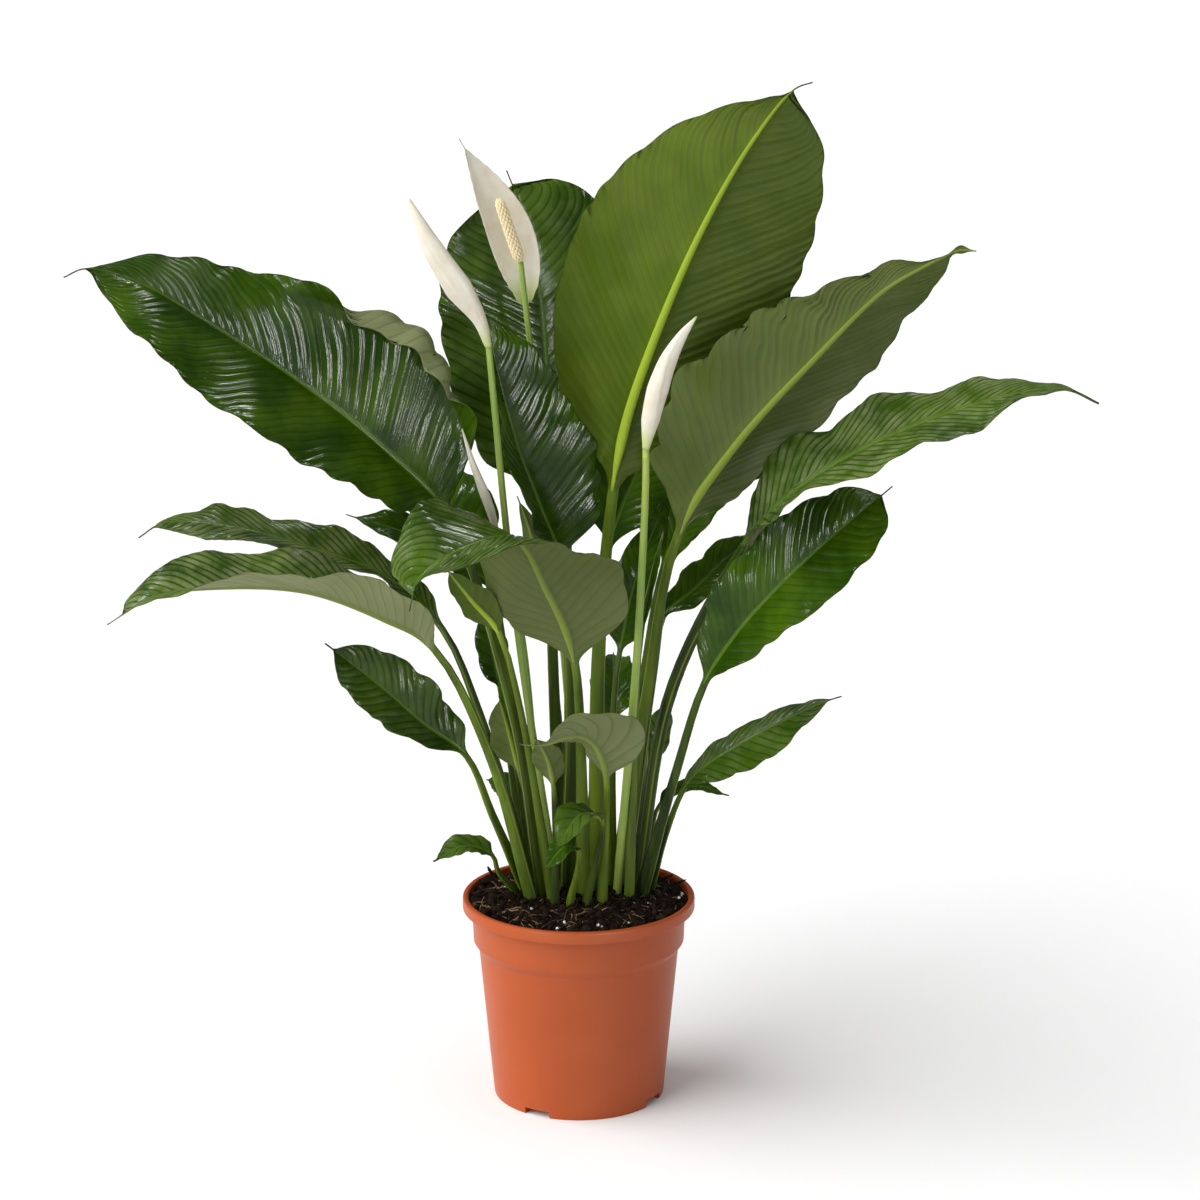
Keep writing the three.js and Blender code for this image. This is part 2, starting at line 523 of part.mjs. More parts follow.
// Rings of the stalk, from its buried end to the neck. The facing turns with the stalk from the neck down.
function stalkRings(collar, path, stations, radii, columns, neckFacing) {
  const places = [];
  for (let i = stations; i >= 0; i--) places.push(path(i / (stations + 1)));
  let facing = neckFacing.clone();
  const rings = places.map(({ point, tangent }, i) => {
    facing.addScaledVector(tangent, -facing.dot(tangent)).normalize();
    const along = (stations - i) / (stations + 1);
    const radius = THREE.MathUtils.lerp(radii[0], radii[1], along);
    return placeSection(roundSection(radius, columns), point, tangent, facing);
  });
  const up = new THREE.Vector3(0, 0, 1);
  facing.addScaledVector(up, -facing.dot(up)).normalize();
  const buried = new THREE.Vector3(collar.x, collar.y, BURIED_END);
  rings.push(placeSection(roundSection(radii[0], columns), buried, up, facing));
  return rings.reverse();
}

function leafGeometry(leaf) {
  const broad = leaf.rolled ? ROLLED_COLUMNS : WIDE_COLUMNS;
  const columns = ['small', 'plain'].includes(leaf.size) ? NARROW_COLUMNS : broad;
  const { stalk, blade } = STATIONS[leaf.rolled ? 'rolled' : leaf.size];
  const collar = collarPoint(leaf.foot);
  const points = [collar, ...leaf.stalk.map(vector), ...leaf.rib.map(vector)];
  const curve = new THREE.CatmullRomCurve3(points, false, 'centripetal');
  const neck = (1 + leaf.stalk.length) / (points.length - 1);
  const bladePath = pathAt(curve, neck, 1);
  const whole = { ...leaf, footHalf: leaf.stalkRadius[1] };
  const start = bladePath(0);
  const neckFacing = facingAt(leaf.faces, 0, start.tangent);
  const rings = stalkRings(collar, pathAt(curve, 0, neck), stalk, leaf.stalkRadius, columns, neckFacing);
  for (const t of blade) {
    const { point, tangent } = bladePath(t);
    const flat = THREE.MathUtils.smoothstep(t, 0, NECK_PART);
    const round = roundSection(leaf.stalkRadius[1], columns);
    const section = bladeSection(whole, t, columns).map(([x, z], k) => [
      THREE.MathUtils.lerp(round[k][0], x, flat),
      THREE.MathUtils.lerp(round[k][1], z, flat),
    ]);
    rings.push(placeSection(section, point, tangent, facingAt(leaf.faces, t, tangent)));
  }
  return loft(rings, veinwise(columns.length));
}

const STEM_COLUMNS = [0, 1, 2, 3]; // half of an eight-sided section
const STEM_STATIONS = 7;

function stemPath({ foot, points }) {
  const curve = new THREE.CatmullRomCurve3([collarPoint(foot), ...points.map(vector)], false, 'centripetal');
  return pathAt(curve, 0, 1);
}

// The middle of the foot of what a stem carries, and the way it points.
function carriedFoot(stem) {
  const { point, tangent } = stemPath(stem)(1);
  return { start: point.clone().addScaledVector(tangent, GAP), tangent };
}

function stemGeometry(stem) {
  const { foot, radius } = stem;
  const collar = collarPoint(foot);
  const path = stemPath(stem);
  const end = path(1);
  const facing = facingAt([[0, -1, 0], [0, -1, 0]], 0, end.tangent);
  const rings = stalkRings(collar, path, STEM_STATIONS, radius, STEM_COLUMNS, facing);
  rings.push(placeSection(roundSection(radius[1], STEM_COLUMNS), end.point, end.tangent, facing));
  return loft(rings);
}

function openSpatheGeometry(spathe) {
  const curve = new THREE.CatmullRomCurve3(spathe.rib.map(vector), false, 'centripetal');
  const path = pathAt(curve, 0, 1);
  const rings = STATIONS.large.blade.map((t) => {
    const { point, tangent } = path(t);
    const section = bladeSection(spathe, t, WIDE_COLUMNS);
    return placeSection(section, point, tangent, facingAt(spathe.faces, t, tangent));
  });
  return loft(rings, veinwise(WIDE_COLUMNS.length));
}

// A rolled sheath, with a low ridge that winds up it where its edge overlaps.
function closedSpatheGeometry({ line, halfWidth, halfDepth, faces }, stem) {
  const { start, tangent: stemTangent } = carriedFoot(stem);
  const curve = new THREE.CatmullRomCurve3([start, ...line.map(vector)], false, 'centripetal');
  const rings = [];
  for (let i = 0; i <= SHEATH_STEPS; i++) {
    const t = i / SHEATH_STEPS;
    const place = t * line.length;
    const from = Math.min(Math.floor(place), line.length - 1);
    const wide = THREE.MathUtils.lerp(halfWidth[from], halfWidth[from + 1], place - from);
    const deep = THREE.MathUtils.lerp(halfDepth[from], halfDepth[from + 1], place - from);
    const tangent = i === 0 ? stemTangent : curve.getTangent(t);
    const section = [];
    for (let k = 0; k < SHEATH_SIDES; k++) {
      const angle = Math.PI - (k * 2 * Math.PI) / SHEATH_SIDES;
      const seam = 0.5 + 0.5 * Math.cos(angle - Math.PI / 2 - SEAM_TWIST * (t - 0.5));
      const swell = 1 + SEAM_HEIGHT * seam ** SEAM_SHARPNESS * Math.sin(Math.PI * t);
      section.push([wide * swell * Math.cos(angle), deep * swell * Math.sin(angle)]);
    }
    rings.push(placeSection(section, curve.getPoint(t), tangent, facingAt([faces, faces], 0, tangent)));
  }
  return loft(rings);
}

// The spadix: a blunt rod covered in small bumps, set in turn.
function spadixGeometry({ top, radius, bump, sides, rings: count }, stem) {
  const { start, tangent: stemTangent } = carriedFoot(stem);
  const tangent = vector(top).sub(start).normalize();
  const length = start.distanceTo(vector(top));
  const facing = facingAt([[0, -1, 0], [0, -1, 0]], 0, tangent);
  const rings = [];
  for (let i = 0; i <= count; i++) {
    const t = i / count;
    const rounded = Math.sqrt(Math.max(SPADIX_END, 1 - (2 * t - 1) ** 6)) * (1 - SPADIX_TAPER * t);
    const section = [];
    for (let k = 0; k < sides; k++) {
      const angle = Math.PI - (k * 2 * Math.PI) / sides;
      const raised = (i + k) % 2 === 0 ? bump : -bump;
      const r = radius * rounded + (i > 0 && i < count ? raised : 0);
      section.push([r * Math.cos(angle), r * Math.sin(angle)]);
    }
    const place = start.clone().addScaledVector(tangent, t * length);
    rings.push(placeSection(section, place, i === 0 ? stemTangent : tangent, facing));
  }
  return loft(rings);
}

// ---------------------------------------------------------------- booleans
function solid(geometry) {
  const bare = geometry.clone();
  bare.deleteAttribute('normal');
  bare.deleteAttribute('uv');
  const merged = mergeVertices(bare, 1e-3);
  const mesh = new wasm.Mesh({
    numProp: 3,
    vertProperties: merged.attributes.position.array,
    triVerts: new Uint32Array(merged.index.array),
  });
  return new wasm.Manifold(mesh);
}

function geometryOf(manifold) {
  const { vertProperties, triVerts, numProp } = manifold.getMesh();
  const positions = [];
  for (let i = 0; i < vertProperties.length; i += numProp) positions.push(...vertProperties.slice(i, i + 3));
  const geometry = new THREE.BufferGeometry();
  geometry.setAttribute('position', new THREE.Float32BufferAttribute(positions, 3));
  geometry.setIndex([...triVerts]);
  geometry.computeVertexNormals();
  return geometry;
}

// ---------------------------------------------------------------- pot and soil
// A lathed solid about +Z from [radius, height] pairs that start and end on the axis.
function turned(profile) {
  const points = profile.map(([r, z]) => new THREE.Vector2(r, z));
  return new THREE.LatheGeometry(points, ROUND_SIDES).rotateX(Math.PI / 2);
}

function potGeometry() {
  const rimLow = POT_HEIGHT - RIM_DEPTH;
  const rimInner = RIM_RADIUS - RIM_WIDTH;
  let pot = solid(turned([
    [0, 0], [RECESS_INNER, 0], [RECESS_INNER + WALL, RECESS_HEIGHT], [RECESS_OUTER - WALL, RECESS_HEIGHT],
    [RECESS_OUTER, 0], [BASE_RADIUS - FOOT_BEVEL, 0], [BASE_RADIUS, FOOT_BEVEL], [STEP_RADIUS, STEP_LOW],
    [COLLAR_LOW_RADIUS, STEP_TOP], [COLLAR_TOP_RADIUS, rimLow], [RIM_RADIUS - RIM_BEVEL / 2, rimLow],
    [RIM_RADIUS, rimLow + RIM_BEVEL], [RIM_RADIUS, POT_HEIGHT - RIM_BEVEL],
    [RIM_RADIUS - RIM_BEVEL, POT_HEIGHT],
    [rimInner + RIM_INNER_BEVEL, POT_HEIGHT], [rimInner, POT_HEIGHT - RIM_INNER_BEVEL],
    [rimInner, rimLow + RIM_FLARE], [COLLAR_TOP_RADIUS - WALL, rimLow - RIM_FLARE],
    [COLLAR_LOW_RADIUS - WALL, STEP_TOP], [STEP_RADIUS - WALL, STEP_LOW], [BASE_RADIUS - WALL, FLOOR_TOP],
    [0, FLOOR_TOP],
  ]));
  const footRing = BASE_RADIUS - RECESS_OUTER;
  for (let i = 0; i < NOTCH_COUNT; i++) {
    const notch = new THREE.BoxGeometry(3 * footRing, NOTCH_WIDTH, 2 * NOTCH_HEIGHT);
    notch.translate(RECESS_OUTER + footRing, 0, 0);
    notch.rotateZ(radians(NOTCH_FIRST_ANGLE + (i * 360) / NOTCH_COUNT));
    pot = pot.subtract(solid(notch));
  }
  const drainRing = (RECESS_INNER + RECESS_OUTER) / 2;
  for (let i = 0; i < DRAIN_COUNT; i++) {
    const drain = new THREE.CylinderGeometry(DRAIN_RADIUS, DRAIN_RADIUS, 4 * FLOOR_TOP, DRAIN_SIDES);
    drain.rotateX(Math.PI / 2).translate(drainRing, 0, 0).rotateZ(radians((i * 360) / DRAIN_COUNT));
    pot = pot.subtract(solid(drain));
  }
  return geometryOf(pot);
}

// The soil fills the pot. Its top is uneven, and every stalk and stem stands in a plain hole.
function soilGeometry() {
  const rimLow = POT_HEIGHT - RIM_DEPTH;
  const inset = WALL + GAP;
  const top = RIM_RADIUS - RIM_WIDTH - GAP;
  const body = turned([
    [0, FLOOR_TOP + GAP], [BASE_RADIUS - inset, FLOOR_TOP + GAP], [STEP_RADIUS - inset, STEP_LOW + GAP],
    [COLLAR_LOW_RADIUS - inset, STEP_TOP + GAP], [COLLAR_TOP_RADIUS - inset, rimLow - RIM_FLARE + GAP],
    [top, rimLow + RIM_FLARE + GAP], ...SOIL_RINGS.map((part) => [part * top, SOIL_EDGE]), [0, SOIL_EDGE],
  ]);
  const places = body.attributes.position;
  for (let i = 0; i < places.count; i++) {
    if (places.getZ(i) < SOIL_EDGE - 0.01) continue;
    places.setZ(i, soilHeight(places.getX(i), places.getY(i)));
  }
  let soil = solid(body);
  const holes = [
    ...Object.values(LEAVES).map(({ foot, stalkRadius }) => [foot, stalkRadius[0]]),
    ...Object.values(STEMS).map(({ foot, radius }) => [foot, radius[0]]),
  ];
  const depth = POT_HEIGHT + 2 * SOIL_CROWN - BURIED_END;
  for (const [[x, y], radius] of holes) {
    const wide = (radius + GAP) / Math.cos(Math.PI / HOLE_SIDES);
    const hole = new THREE.CylinderGeometry(wide, wide, depth, HOLE_SIDES).rotateX(Math.PI / 2);
    hole.translate(x, y, BURIED_END - GAP + depth / 2);
    soil = soil.subtract(solid(hole));
  }
  return geometryOf(soil);
}

// ---------------------------------------------------------------- the plant
const plant = new THREE.Group();

function add(name, geometry, look) {
  const material = new THREE.MeshStandardMaterial({ metalness: 0, side: THREE.FrontSide, ...look });
  const mesh = new THREE.Mesh(geometry, material);
  mesh.name = name;
  plant.add(mesh);
}

add('pot', potGeometry(), COLOURS.pot);
add('soil', soilGeometry(), COLOURS.soil);
for (const [name, leaf] of Object.entries(LEAVES)) {
  const look = UNDERSIDE_OUT.includes(name) ? COLOURS.leafUnderside : COLOURS.leaf;
  add(`leaf_${name}`, leafGeometry(leaf), look);
}
for (const [name, stem] of Object.entries(STEMS)) {
  add(`flower_stem_${name}`, stemGeometry(stem), COLOURS.stem);
}
for (const [name, spathe] of Object.entries(CLOSED_SPATHES)) {
  add(`spathe_${name}`, closedSpatheGeometry(spathe, STEMS[name]), COLOURS.spathe);
}
add('spathe_open', openSpatheGeometry(OPEN_SPATHE), COLOURS.spathe);
add('spadix', spadixGeometry(SPADIX, STEMS.open), COLOURS.spadix);

export default plant;
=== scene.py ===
"""The looks of a potted peace lily: a moulded nursery pot, coarse peat, glossy veined leaves on sheathed
stalks, and white spathes.
Sizes are millimetres, and metres for light and camera. Each mesh is made in place, in metres."""

import math
import random

import bmesh
import bpy
from mathutils import Matrix, Vector, noise


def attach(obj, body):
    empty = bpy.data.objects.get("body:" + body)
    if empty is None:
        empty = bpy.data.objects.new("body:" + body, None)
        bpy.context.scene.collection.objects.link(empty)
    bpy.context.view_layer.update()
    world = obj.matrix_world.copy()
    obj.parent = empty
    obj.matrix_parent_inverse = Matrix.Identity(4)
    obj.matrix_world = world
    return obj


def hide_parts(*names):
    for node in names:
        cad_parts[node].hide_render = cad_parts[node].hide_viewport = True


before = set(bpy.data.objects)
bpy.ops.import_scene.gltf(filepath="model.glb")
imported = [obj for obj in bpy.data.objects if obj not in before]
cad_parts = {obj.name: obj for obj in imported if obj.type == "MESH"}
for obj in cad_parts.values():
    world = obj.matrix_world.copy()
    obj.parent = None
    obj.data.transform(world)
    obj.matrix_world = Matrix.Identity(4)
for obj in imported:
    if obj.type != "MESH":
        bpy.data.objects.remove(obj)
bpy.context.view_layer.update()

MM = 0.001
FULL_TURN = 2 * math.pi
UP = Vector((0, 0, 1))
FRONT = Vector((0, -1, 0))
WALK_STEPS = 160  # in which a curve's length is measured

# ---------------------------------------------------------------- pot and soil, as built
POT_HEIGHT = 152
RIM_RADIUS = 85
RIM_DEPTH = 9
RIM_WIDTH = 4.5
COLLAR_TOP_RADIUS = 78.2
COLLAR_LOW_RADIUS = 77.2
STEP_TOP = 118.5
STEP_LOW = 113
STEP_RADIUS = 73.3
BASE_RADIUS = 62.7
WALL = 1.5
FLOOR_TOP = 5.8
RECESS_HEIGHT = 4  # of the ring-shaped recess in the underside, between its two radii
RECESS_INNER = 24
RECESS_OUTER = 54
DRAIN_COUNT = 8
DRAIN_RADIUS = 4.2
NOTCH_WIDTH = 20
NOTCH_REACH = 30  # of its cutting block, through the foot ring
NOTCH_HEIGHT = 5
NOTCH_FIRST_ANGLE = 241
NOTCH_COUNT = 4
POT_STEPS = 144  # faces round the pot
RIM_ROUNDING = 2.1
EDGE_ROUNDING = 0.6

SOIL_EDGE = 147  # height of the soil at the pot's wall
SOIL_CROWN = 7  # rise of the soil to its middle
SOIL_DOME_RADIUS = 80
SOIL_GAP = 0.3  # between the soil and the pot
FIBRE_SPREAD = 79  # radius within which the fibres lie
BURIED_END = 120  # height at which stalks and stems end in the soil
STALK_OUT = 3  # height above the soil at which a stalk starts to bend
HEAP_CRUMBS = 14  # crumbs heaped round each stalk
LUMPINESS = 0.25  # most that a lump's corners stray, as a part of its size

# ---------------------------------------------------------------- leaves
BLADE_THICKNESS = 0.9
TIP_HALF_WIDTH = 0.45
OUTLINE = (0.62, 0.8)  # powers of a half blade's outline, towards the neck and towards the tip
DRIP_TIP = 0.06  # part of a blade that is drawn out to a brown point
NECK_PART = 0.12  # of a blade, over which the stalk flattens into it
RIB_TAPER = 0.8  # power by which a midrib thins to the tip
RIB_COLUMNS = (0.0, 0.5, 0.85, 1.15)  # across the midrib, as parts of its half width
KEEL_DEPTH = 0.95  # of a midrib below the blade, as a part of its half width
WAVE_PHASES = (2, 0.4)  # of the waves of the left and the right margin
WAVE_FULL_AT = 15  # half width from which a margin waves fully
RUFFLE_HEIGHT = 0.9  # of the small waves between the large ones
UNEVENNESS = 3  # most that a margin strays from its form
ROLL_SPARE = 0.46  # how much wider a half blade is where it rolls over
ROLL_MAX_PART = 0.3  # of a half blade that rolls over
CURL_RADIUS = 4  # of the curl of a rolled margin
VEIN_SPACING = 7.5  # between the main side veins, along the midrib
VEIN_CROWDING = 1.3  # how much closer the side veins leave the midrib near the neck
VEIN_SWEEPS = (1.35, 1.9)  # least and most lean of the side veins towards the tip
RIPPLE_HEIGHT = 1.0  # of the bands between the side veins
VEIN_STEP = 0.5  # most that a side vein lies above or below the blade
SCALLOP_LENGTH = 30  # of the bulges along a margin
END_LOBE_AT = 0.965  # where along the blade a small green lobe ends it, on the leaf that has one
END_LOBE_SPREAD = 0.016
EDGE_WIDTH = 0.7  # of the rounded margin of a blade

# Rows of faces along a stalk and for each side vein, and columns across half a blade.
DETAIL = {"large": (16, 5, 14), "medium": (12, 5, 12), "plain": (10, 5, 11), "small": (10, 5, 9)}

# Each leaf has, in this order:
# - foot: where its stalk leaves the soil; stalk: points along the stalk
# - halves: the widths of its two halves, seen from the neck with the upper side up, left half first
# - rib: points along the midrib, from the neck to the tip; faces: the way its upper side faces along it
# - fold: of each half towards the upper side, in degrees, at the neck and at the tip
# - wave: height and number of its margin waves; stalk_radius: at the foot and at the neck
# - outline, right_outline: the powers of its halves' outlines, where they aren't OUTLINE
# - rolled: a right margin that is rolled over, on a stretch of the blade
# - scallops: depth of the bulges of its left and right margins; end_lobe: size of the lobe at its end
# A leaf without a fold or wave of its own takes the one that is set below the table.
LEAVES = {
    "left_large": dict(size="large", foot=[-25, -5], stalk=[[-46, -20, 294]], halves=[60, 69],
      rib=[[-91, -34, 442], [-134, -46, 493], [-185, -56, 538], [-241, -66, 579], [-298, -76, 615],
      [-331, -81, 625], [-346, -83, 619]], faces=[[0.4, -0.8, 0.45], [0.2, -0.85, 0.45]], fold=[26, 14],
      wave=[4, 4], stalk_radius=[5.2, 3], outline=[0.6, 0.62], right_outline=[0.45, 0.95],
      rolled=dict(start=0, end=0.64, width=26, turn=165), scallops=(2.2, 1.6)),
    "tall": dict(size="large", foot=[16, 8], stalk=[[14, 0, 320]], halves=[81, 97], rib=[[25, -7, 456],
      [34, -9, 505], [55, -24, 571], [86, -42, 647], [119, -55, 708], [146, -62, 743], [158, -66, 748]],
      faces=[[0.3, 0.95, 0.1], [0.2, 0.97, 0.2]], fold=[32, 20], wave=[4, 3], stalk_radius=[6.6, 3.8],
      outline=[0.46, 0.4], right_outline=[0.66, 0.95], scallops=(1.6, 1.2)),
    "right_upper": dict(size="large", foot=[30, 13], stalk=[[50, -6, 310]], halves=[60, 60],
      rib=[[71, -24, 428], [109, -38, 493], [163, -53, 558], [208, -66, 607], [235, -73, 625],
      [247, -77, 632], [257, -79, 637], [269, -82, 637]], faces=[[-0.3, 0.9, 0.15], [-0.2, 0.92, 0.15]],
      fold=[30, 22], wave=[4, 4], stalk_radius=[5, 3.2], outline=[0.6, 0.74], right_outline=[0.8, 1.5],
      scallops=(1.6, 3.4), end_lobe=3.2),
    "right_long": dict(size="large", foot=[42, 11], stalk=[[66, 4, 303]], halves=[34, 56],
      rib=[[117, -26, 418], [150, -42, 461], [203, -58, 499], [278, -68, 531], [331, -73, 541],
      [356, -76, 531]], faces=[[-0.4, -0.35, 0.8], [-0.2, -0.5, 0.85]], fold=[34, 4], wave=[5, 4],
      stalk_radius=[5.6, 4.4], outline=[0.4, 0.95], right_outline=[0.7, 1.2], scallops=(1.5, 2)),
    "back_left": dict(size="large", foot=[-12, 26], stalk=[[-19, 30, 331]], halves=[75, 63],
      rib=[[-20, 34, 440], [-22, 44, 511], [-27, 54, 582], [-39, 60, 642], [-51, 62, 674]],
      faces=[[0, -0.95, 0.1], [0, -0.9, 0.4]], wave=[3.5, 3], stalk_radius=[5, 3.2], outline=[0.46, 0.34],
      right_outline=[0.6, 0.31], scallops=(1.5, 2)),
    "centre_dark": dict(size="large", foot=[-8, 8], stalk=[[-6, 8, 300]], halves=[30, 52],
      rib=[[-13, -2, 403], [-28, -9, 447], [-42, -15, 487], [-51, -18, 521], [-60, -19, 561],
      [-67, -18, 594]], faces=[[0.66, -0.7, 0.2], [0.66, -0.68, 0.3]], fold=[34, 24], stalk_radius=[5, 3],
      outline=[0.5, 1], right_outline=[0.42, 0.72], scallops=(1.5, 1.5)),
    "front_arch": dict(size="large", foot=[4, -9], stalk=[[2, -28, 270]], halves=[56, 54],
      rib=[[-2, -46, 339], [-10, -52, 369], [-23, -60, 399], [-34, -72, 426], [-45, -90, 442],
      [-61, -107, 444], [-78, -120, 440], [-95, -130, 433], [-108, -136, 421], [-113, -139, 401]],
      faces=[[0.3, 0.95, 0.2], [0.25, 0.93, 0.3], [0.2, 0.1, 0.97], [-0.25, -0.65, 0.7],
      [-0.35, -0.75, 0.55]], fold=[6, 12], stalk_radius=[4.6, 3], outline=[0.55, 1.25],
      right_outline=[0.5, 0.45]),
    "right_mid": dict(size="medium", foot=[46, -4], stalk=[[70, -20, 250]], halves=[36, 39],
      rib=[[90, -30, 320], [112, -38, 359], [145, -48, 400], [189, -56, 444], [218, -60, 470]],
      faces=2 * [[-0.25, -0.8, 0.5]], fold=[24, 10], stalk_radius=[4.2, 2.7], outline=[0.6, 0.5],
      right_outline=[0.73, 0.38]),
    "right_low": dict(size="medium", foot=[52, 8], stalk=[[64, -2, 200]], halves=[11, 24], rib=[[75, 0, 229],
      [87, -5, 247], [124, -12, 274], [174, -24, 304], [188, -28, 310]], faces=2 * [[-0.15, -0.8, 0.5]],
      fold=[22, 12], wave=[2, 3], stalk_radius=[3, 2], outline=[0.8, 0.8], right_outline=[1.2, 1.2]),
    "left_upper": dict(size="medium", foot=[-34, 16], stalk=[[-72, 4, 290]], halves=[24, 21],
      rib=[[-97, -4, 353], [-137, -12, 394], [-189, -24, 418], [-249, -40, 438], [-290, -52, 442],
      [-305, -60, 434]], faces=[[0.3, -0.3, 0.85], [0.1, -0.4, 0.9]], fold=[24, 4], wave=[3.5, 3],
      stalk_radius=[4.4, 2.6], outline=[0.6, 0.4], right_outline=[0.45, 0.6]),
    "left_lower": dict(size="medium", foot=[-35, -12], stalk=[[-64, -34, 271]], halves=[34, 38],
      rib=[[-101, -50, 351], [-135, -68, 377], [-186, -88, 402], [-242, -104, 409], [-288, -114, 405],
      [-320, -120, 387]], faces=[[0.3, 0.3, 0.85], [0.1, 0.02, 1], [0, -0.2, 1]], fold=[48, 16],
      stalk_radius=[4.8, 2.8], outline=[0.25, 0.45], right_outline=[0.4, 0.42]),
    "left_small": dict(size="medium", foot=[-39, 4], stalk=[[-62, -16, 217]], halves=[25, 27],
      rib=[[-80, -24, 264], [-110, -36, 292], [-137, -46, 320], [-167, -58, 349], [-177, -62, 358]],
      faces=2 * [[0.3, -0.8, 0.45]], fold=[24, 10], wave=[2.5, 3], stalk_radius=[3.8, 2.3],
      outline=[1, 0.57], right_outline=[0.7, 0.7]),
    "front_small": dict(size="medium", foot=[17, -21], stalk=[[20, -32, 220]], halves=[35, 10],
      rib=[[20, -40, 252], [17, -46, 268], [11, -53, 282], [1, -60, 290], [-11, -66, 290], [-23, -70, 287],
      [-42, -74, 288]], faces=[[0.2, 0.9, 0.3], [0.15, 0.92, 0.3], [0.1, 0.92, 0.35]], fold=[14, 10],
      wave=[2, 3], stalk_radius=[3.2, 2.1], outline=[1.2, 2.6]),
    "behind_right": dict(size="plain", foot=[33, 28], stalk=[[54, 24, 310]], halves=[18, 18],
      rib=[[66, 22, 394], [86, 24, 438], [118, 28, 466], [160, 31, 498], [192, 33, 524]],
      faces=2 * [[-0.3, -0.8, 0.5]], stalk_radius=[4.2, 2.5]),
    "behind_mid_right": dict(size="plain", foot=[45, 40], stalk=[[50, 50, 270]], halves=[15, 15],
      rib=[[62, 52, 348], [84, 60, 366], [114, 70, 392], [142, 80, 408]], faces=[[-0.3, -0.8, 0.5],
      [-0.2, -0.8, 0.6]], fold=[20, 12], wave=[2.5, 3], stalk_radius=[3.8, 2.2]),
    "back_centre": dict(size="plain", foot=[8, 40], stalk=[[16, 52, 300]], halves=[34, 34],
      rib=[[22, 64, 396], [40, 78, 446], [72, 92, 510], [104, 102, 560]], faces=[[-0.2, -0.9, 0.3],
      [-0.2, -0.8, 0.5]], stalk_radius=[4, 2.4]),
    "left_hidden": dict(size="plain", foot=[-26, 37], stalk=[[-50, 20, 300]], halves=[20, 20],
      rib=[[-64, 14, 380], [-92, 8, 404], [-127, 2, 424], [-165, -4, 438]], faces=[[0.3, -0.6, 0.7],
      [0.2, -0.5, 0.8]], wave=[2.5, 3], stalk_radius=[3.6, 2.2]),
    "rear_left": dict(size="plain", foot=[-36, 48], stalk=[[-56, 76, 280]], halves=[40, 40],
      rib=[[-78, 102, 360], [-104, 130, 412], [-136, 164, 440], [-160, 190, 440]], faces=[[0.4, -0.6, 0.7],
      [0.3, -0.3, 0.9]], fold=[22, 8], stalk_radius=[4.2, 2.6]),
    "rear_right": dict(size="plain", foot=[30, 59], stalk=[[48, 92, 290]], halves=[42, 42],
      rib=[[64, 120, 372], [90, 152, 430], [124, 188, 462], [150, 216, 466]], faces=[[-0.4, -0.6, 0.7],
      [-0.2, -0.3, 0.9]], fold=[22, 8], stalk_radius=[4.2, 2.6]),
    "rear_middle": dict(size="plain", foot=[-6, 56], stalk=[[-8, 86, 300]], halves=[46, 46],
      rib=[[-8, 108, 396], [-4, 134, 466], [4, 168, 520], [12, 200, 540]], faces=[[0, -0.9, 0.4],
      [0.05, -0.5, 0.85]], fold=[22, 8], stalk_radius=[4.4, 2.8]),
    "rear_low": dict(size="plain", foot=[14, 64], stalk=[[20, 92, 206]], halves=[19, 19],
      rib=[[25, 112, 250], [26, 136, 270], [26, 162, 282], [26, 188, 284]], faces=[[0, -0.7, 0.7],
      [0, -0.3, 0.95]], fold=[24, 10], wave=[2.5, 3], stalk_radius=[3.4, 2.1]),
    "upright_back": dict(size="small", foot=[24, 27], stalk=[[26, 34, 292]], halves=[18, 18],
      rib=[[30, 34, 326], [40, 37, 374], [52, 39, 410], [61, 40, 432]], faces=2 * [[-0.3, -0.9, 0.3]],
      fold=[20, 12], wave=[1.5, 2], stalk_radius=[3.2, 2]),
    "under_arch": dict(size="small", foot=[-19, -16], stalk=[[-42, -32, 306]], halves=[14, 14],
      rib=[[-56, -38, 360], [-74, -44, 384], [-92, -50, 409]], faces=2 * [[0.2, 0.9, 0.2]], fold=[16, 10],
      wave=[1.5, 2], stalk_radius=[3.2, 2]),
    "dark_upright": dict(size="small", foot=[-40, 27], stalk=[[-54, 32, 272]], halves=[12, 13],
      rib=[[-58, 34, 300], [-65, 35, 334], [-69, 36, 362]], faces=2 * [[0.1, -0.95, 0.2]],
      stalk_radius=[2.8, 1.8]),
    "dark_low": dict(size="small", foot=[-28, 11], stalk=[[-35, 6, 212]], halves=[16, 17],
      rib=[[-43, 0, 246], [-50, -8, 278], [-57, -14, 306]], faces=2 * [[0.1, 0.9, 0.3]],
      stalk_radius=[2.8, 1.8]),
    "centre_low": dict(size="small", foot=[-17, -28], stalk=[[-16, -36, 226]], halves=[12, 12],
      rib=[[-18, -44, 250], [-22, -54, 272], [-30, -62, 290]], faces=2 * [[0.1, 0.9, 0.2]],
      stalk_radius=[2.6, 1.6]),
    "grey_left": dict(size="small", foot=[-43, 38], stalk=[[-49, 42, 192]], halves=[11, 11],
      rib=[[-49, 46, 208], [-59, 52, 220], [-69, 56, 222]], faces=[[0.3, -0.6, 0.7], [0.2, -0.5, 0.8]],
      stalk_radius=[2.6, 1.7]),
    "pale_tip": dict(size="small", foot=[-3, 38], stalk=[[-17, 66, 288]], halves=[9, 9], rib=[[-24, 76, 350],
      [-33, 82, 396], [-45, 84, 432]], faces=2 * [[0.1, 0.9, 0.2]], fold=[20, 14], stalk_radius=[2.8, 1.8]),
    "right_tiny": dict(size="small", foot=[33, 46], stalk=[[46, 54, 214]], halves=[12, 12],
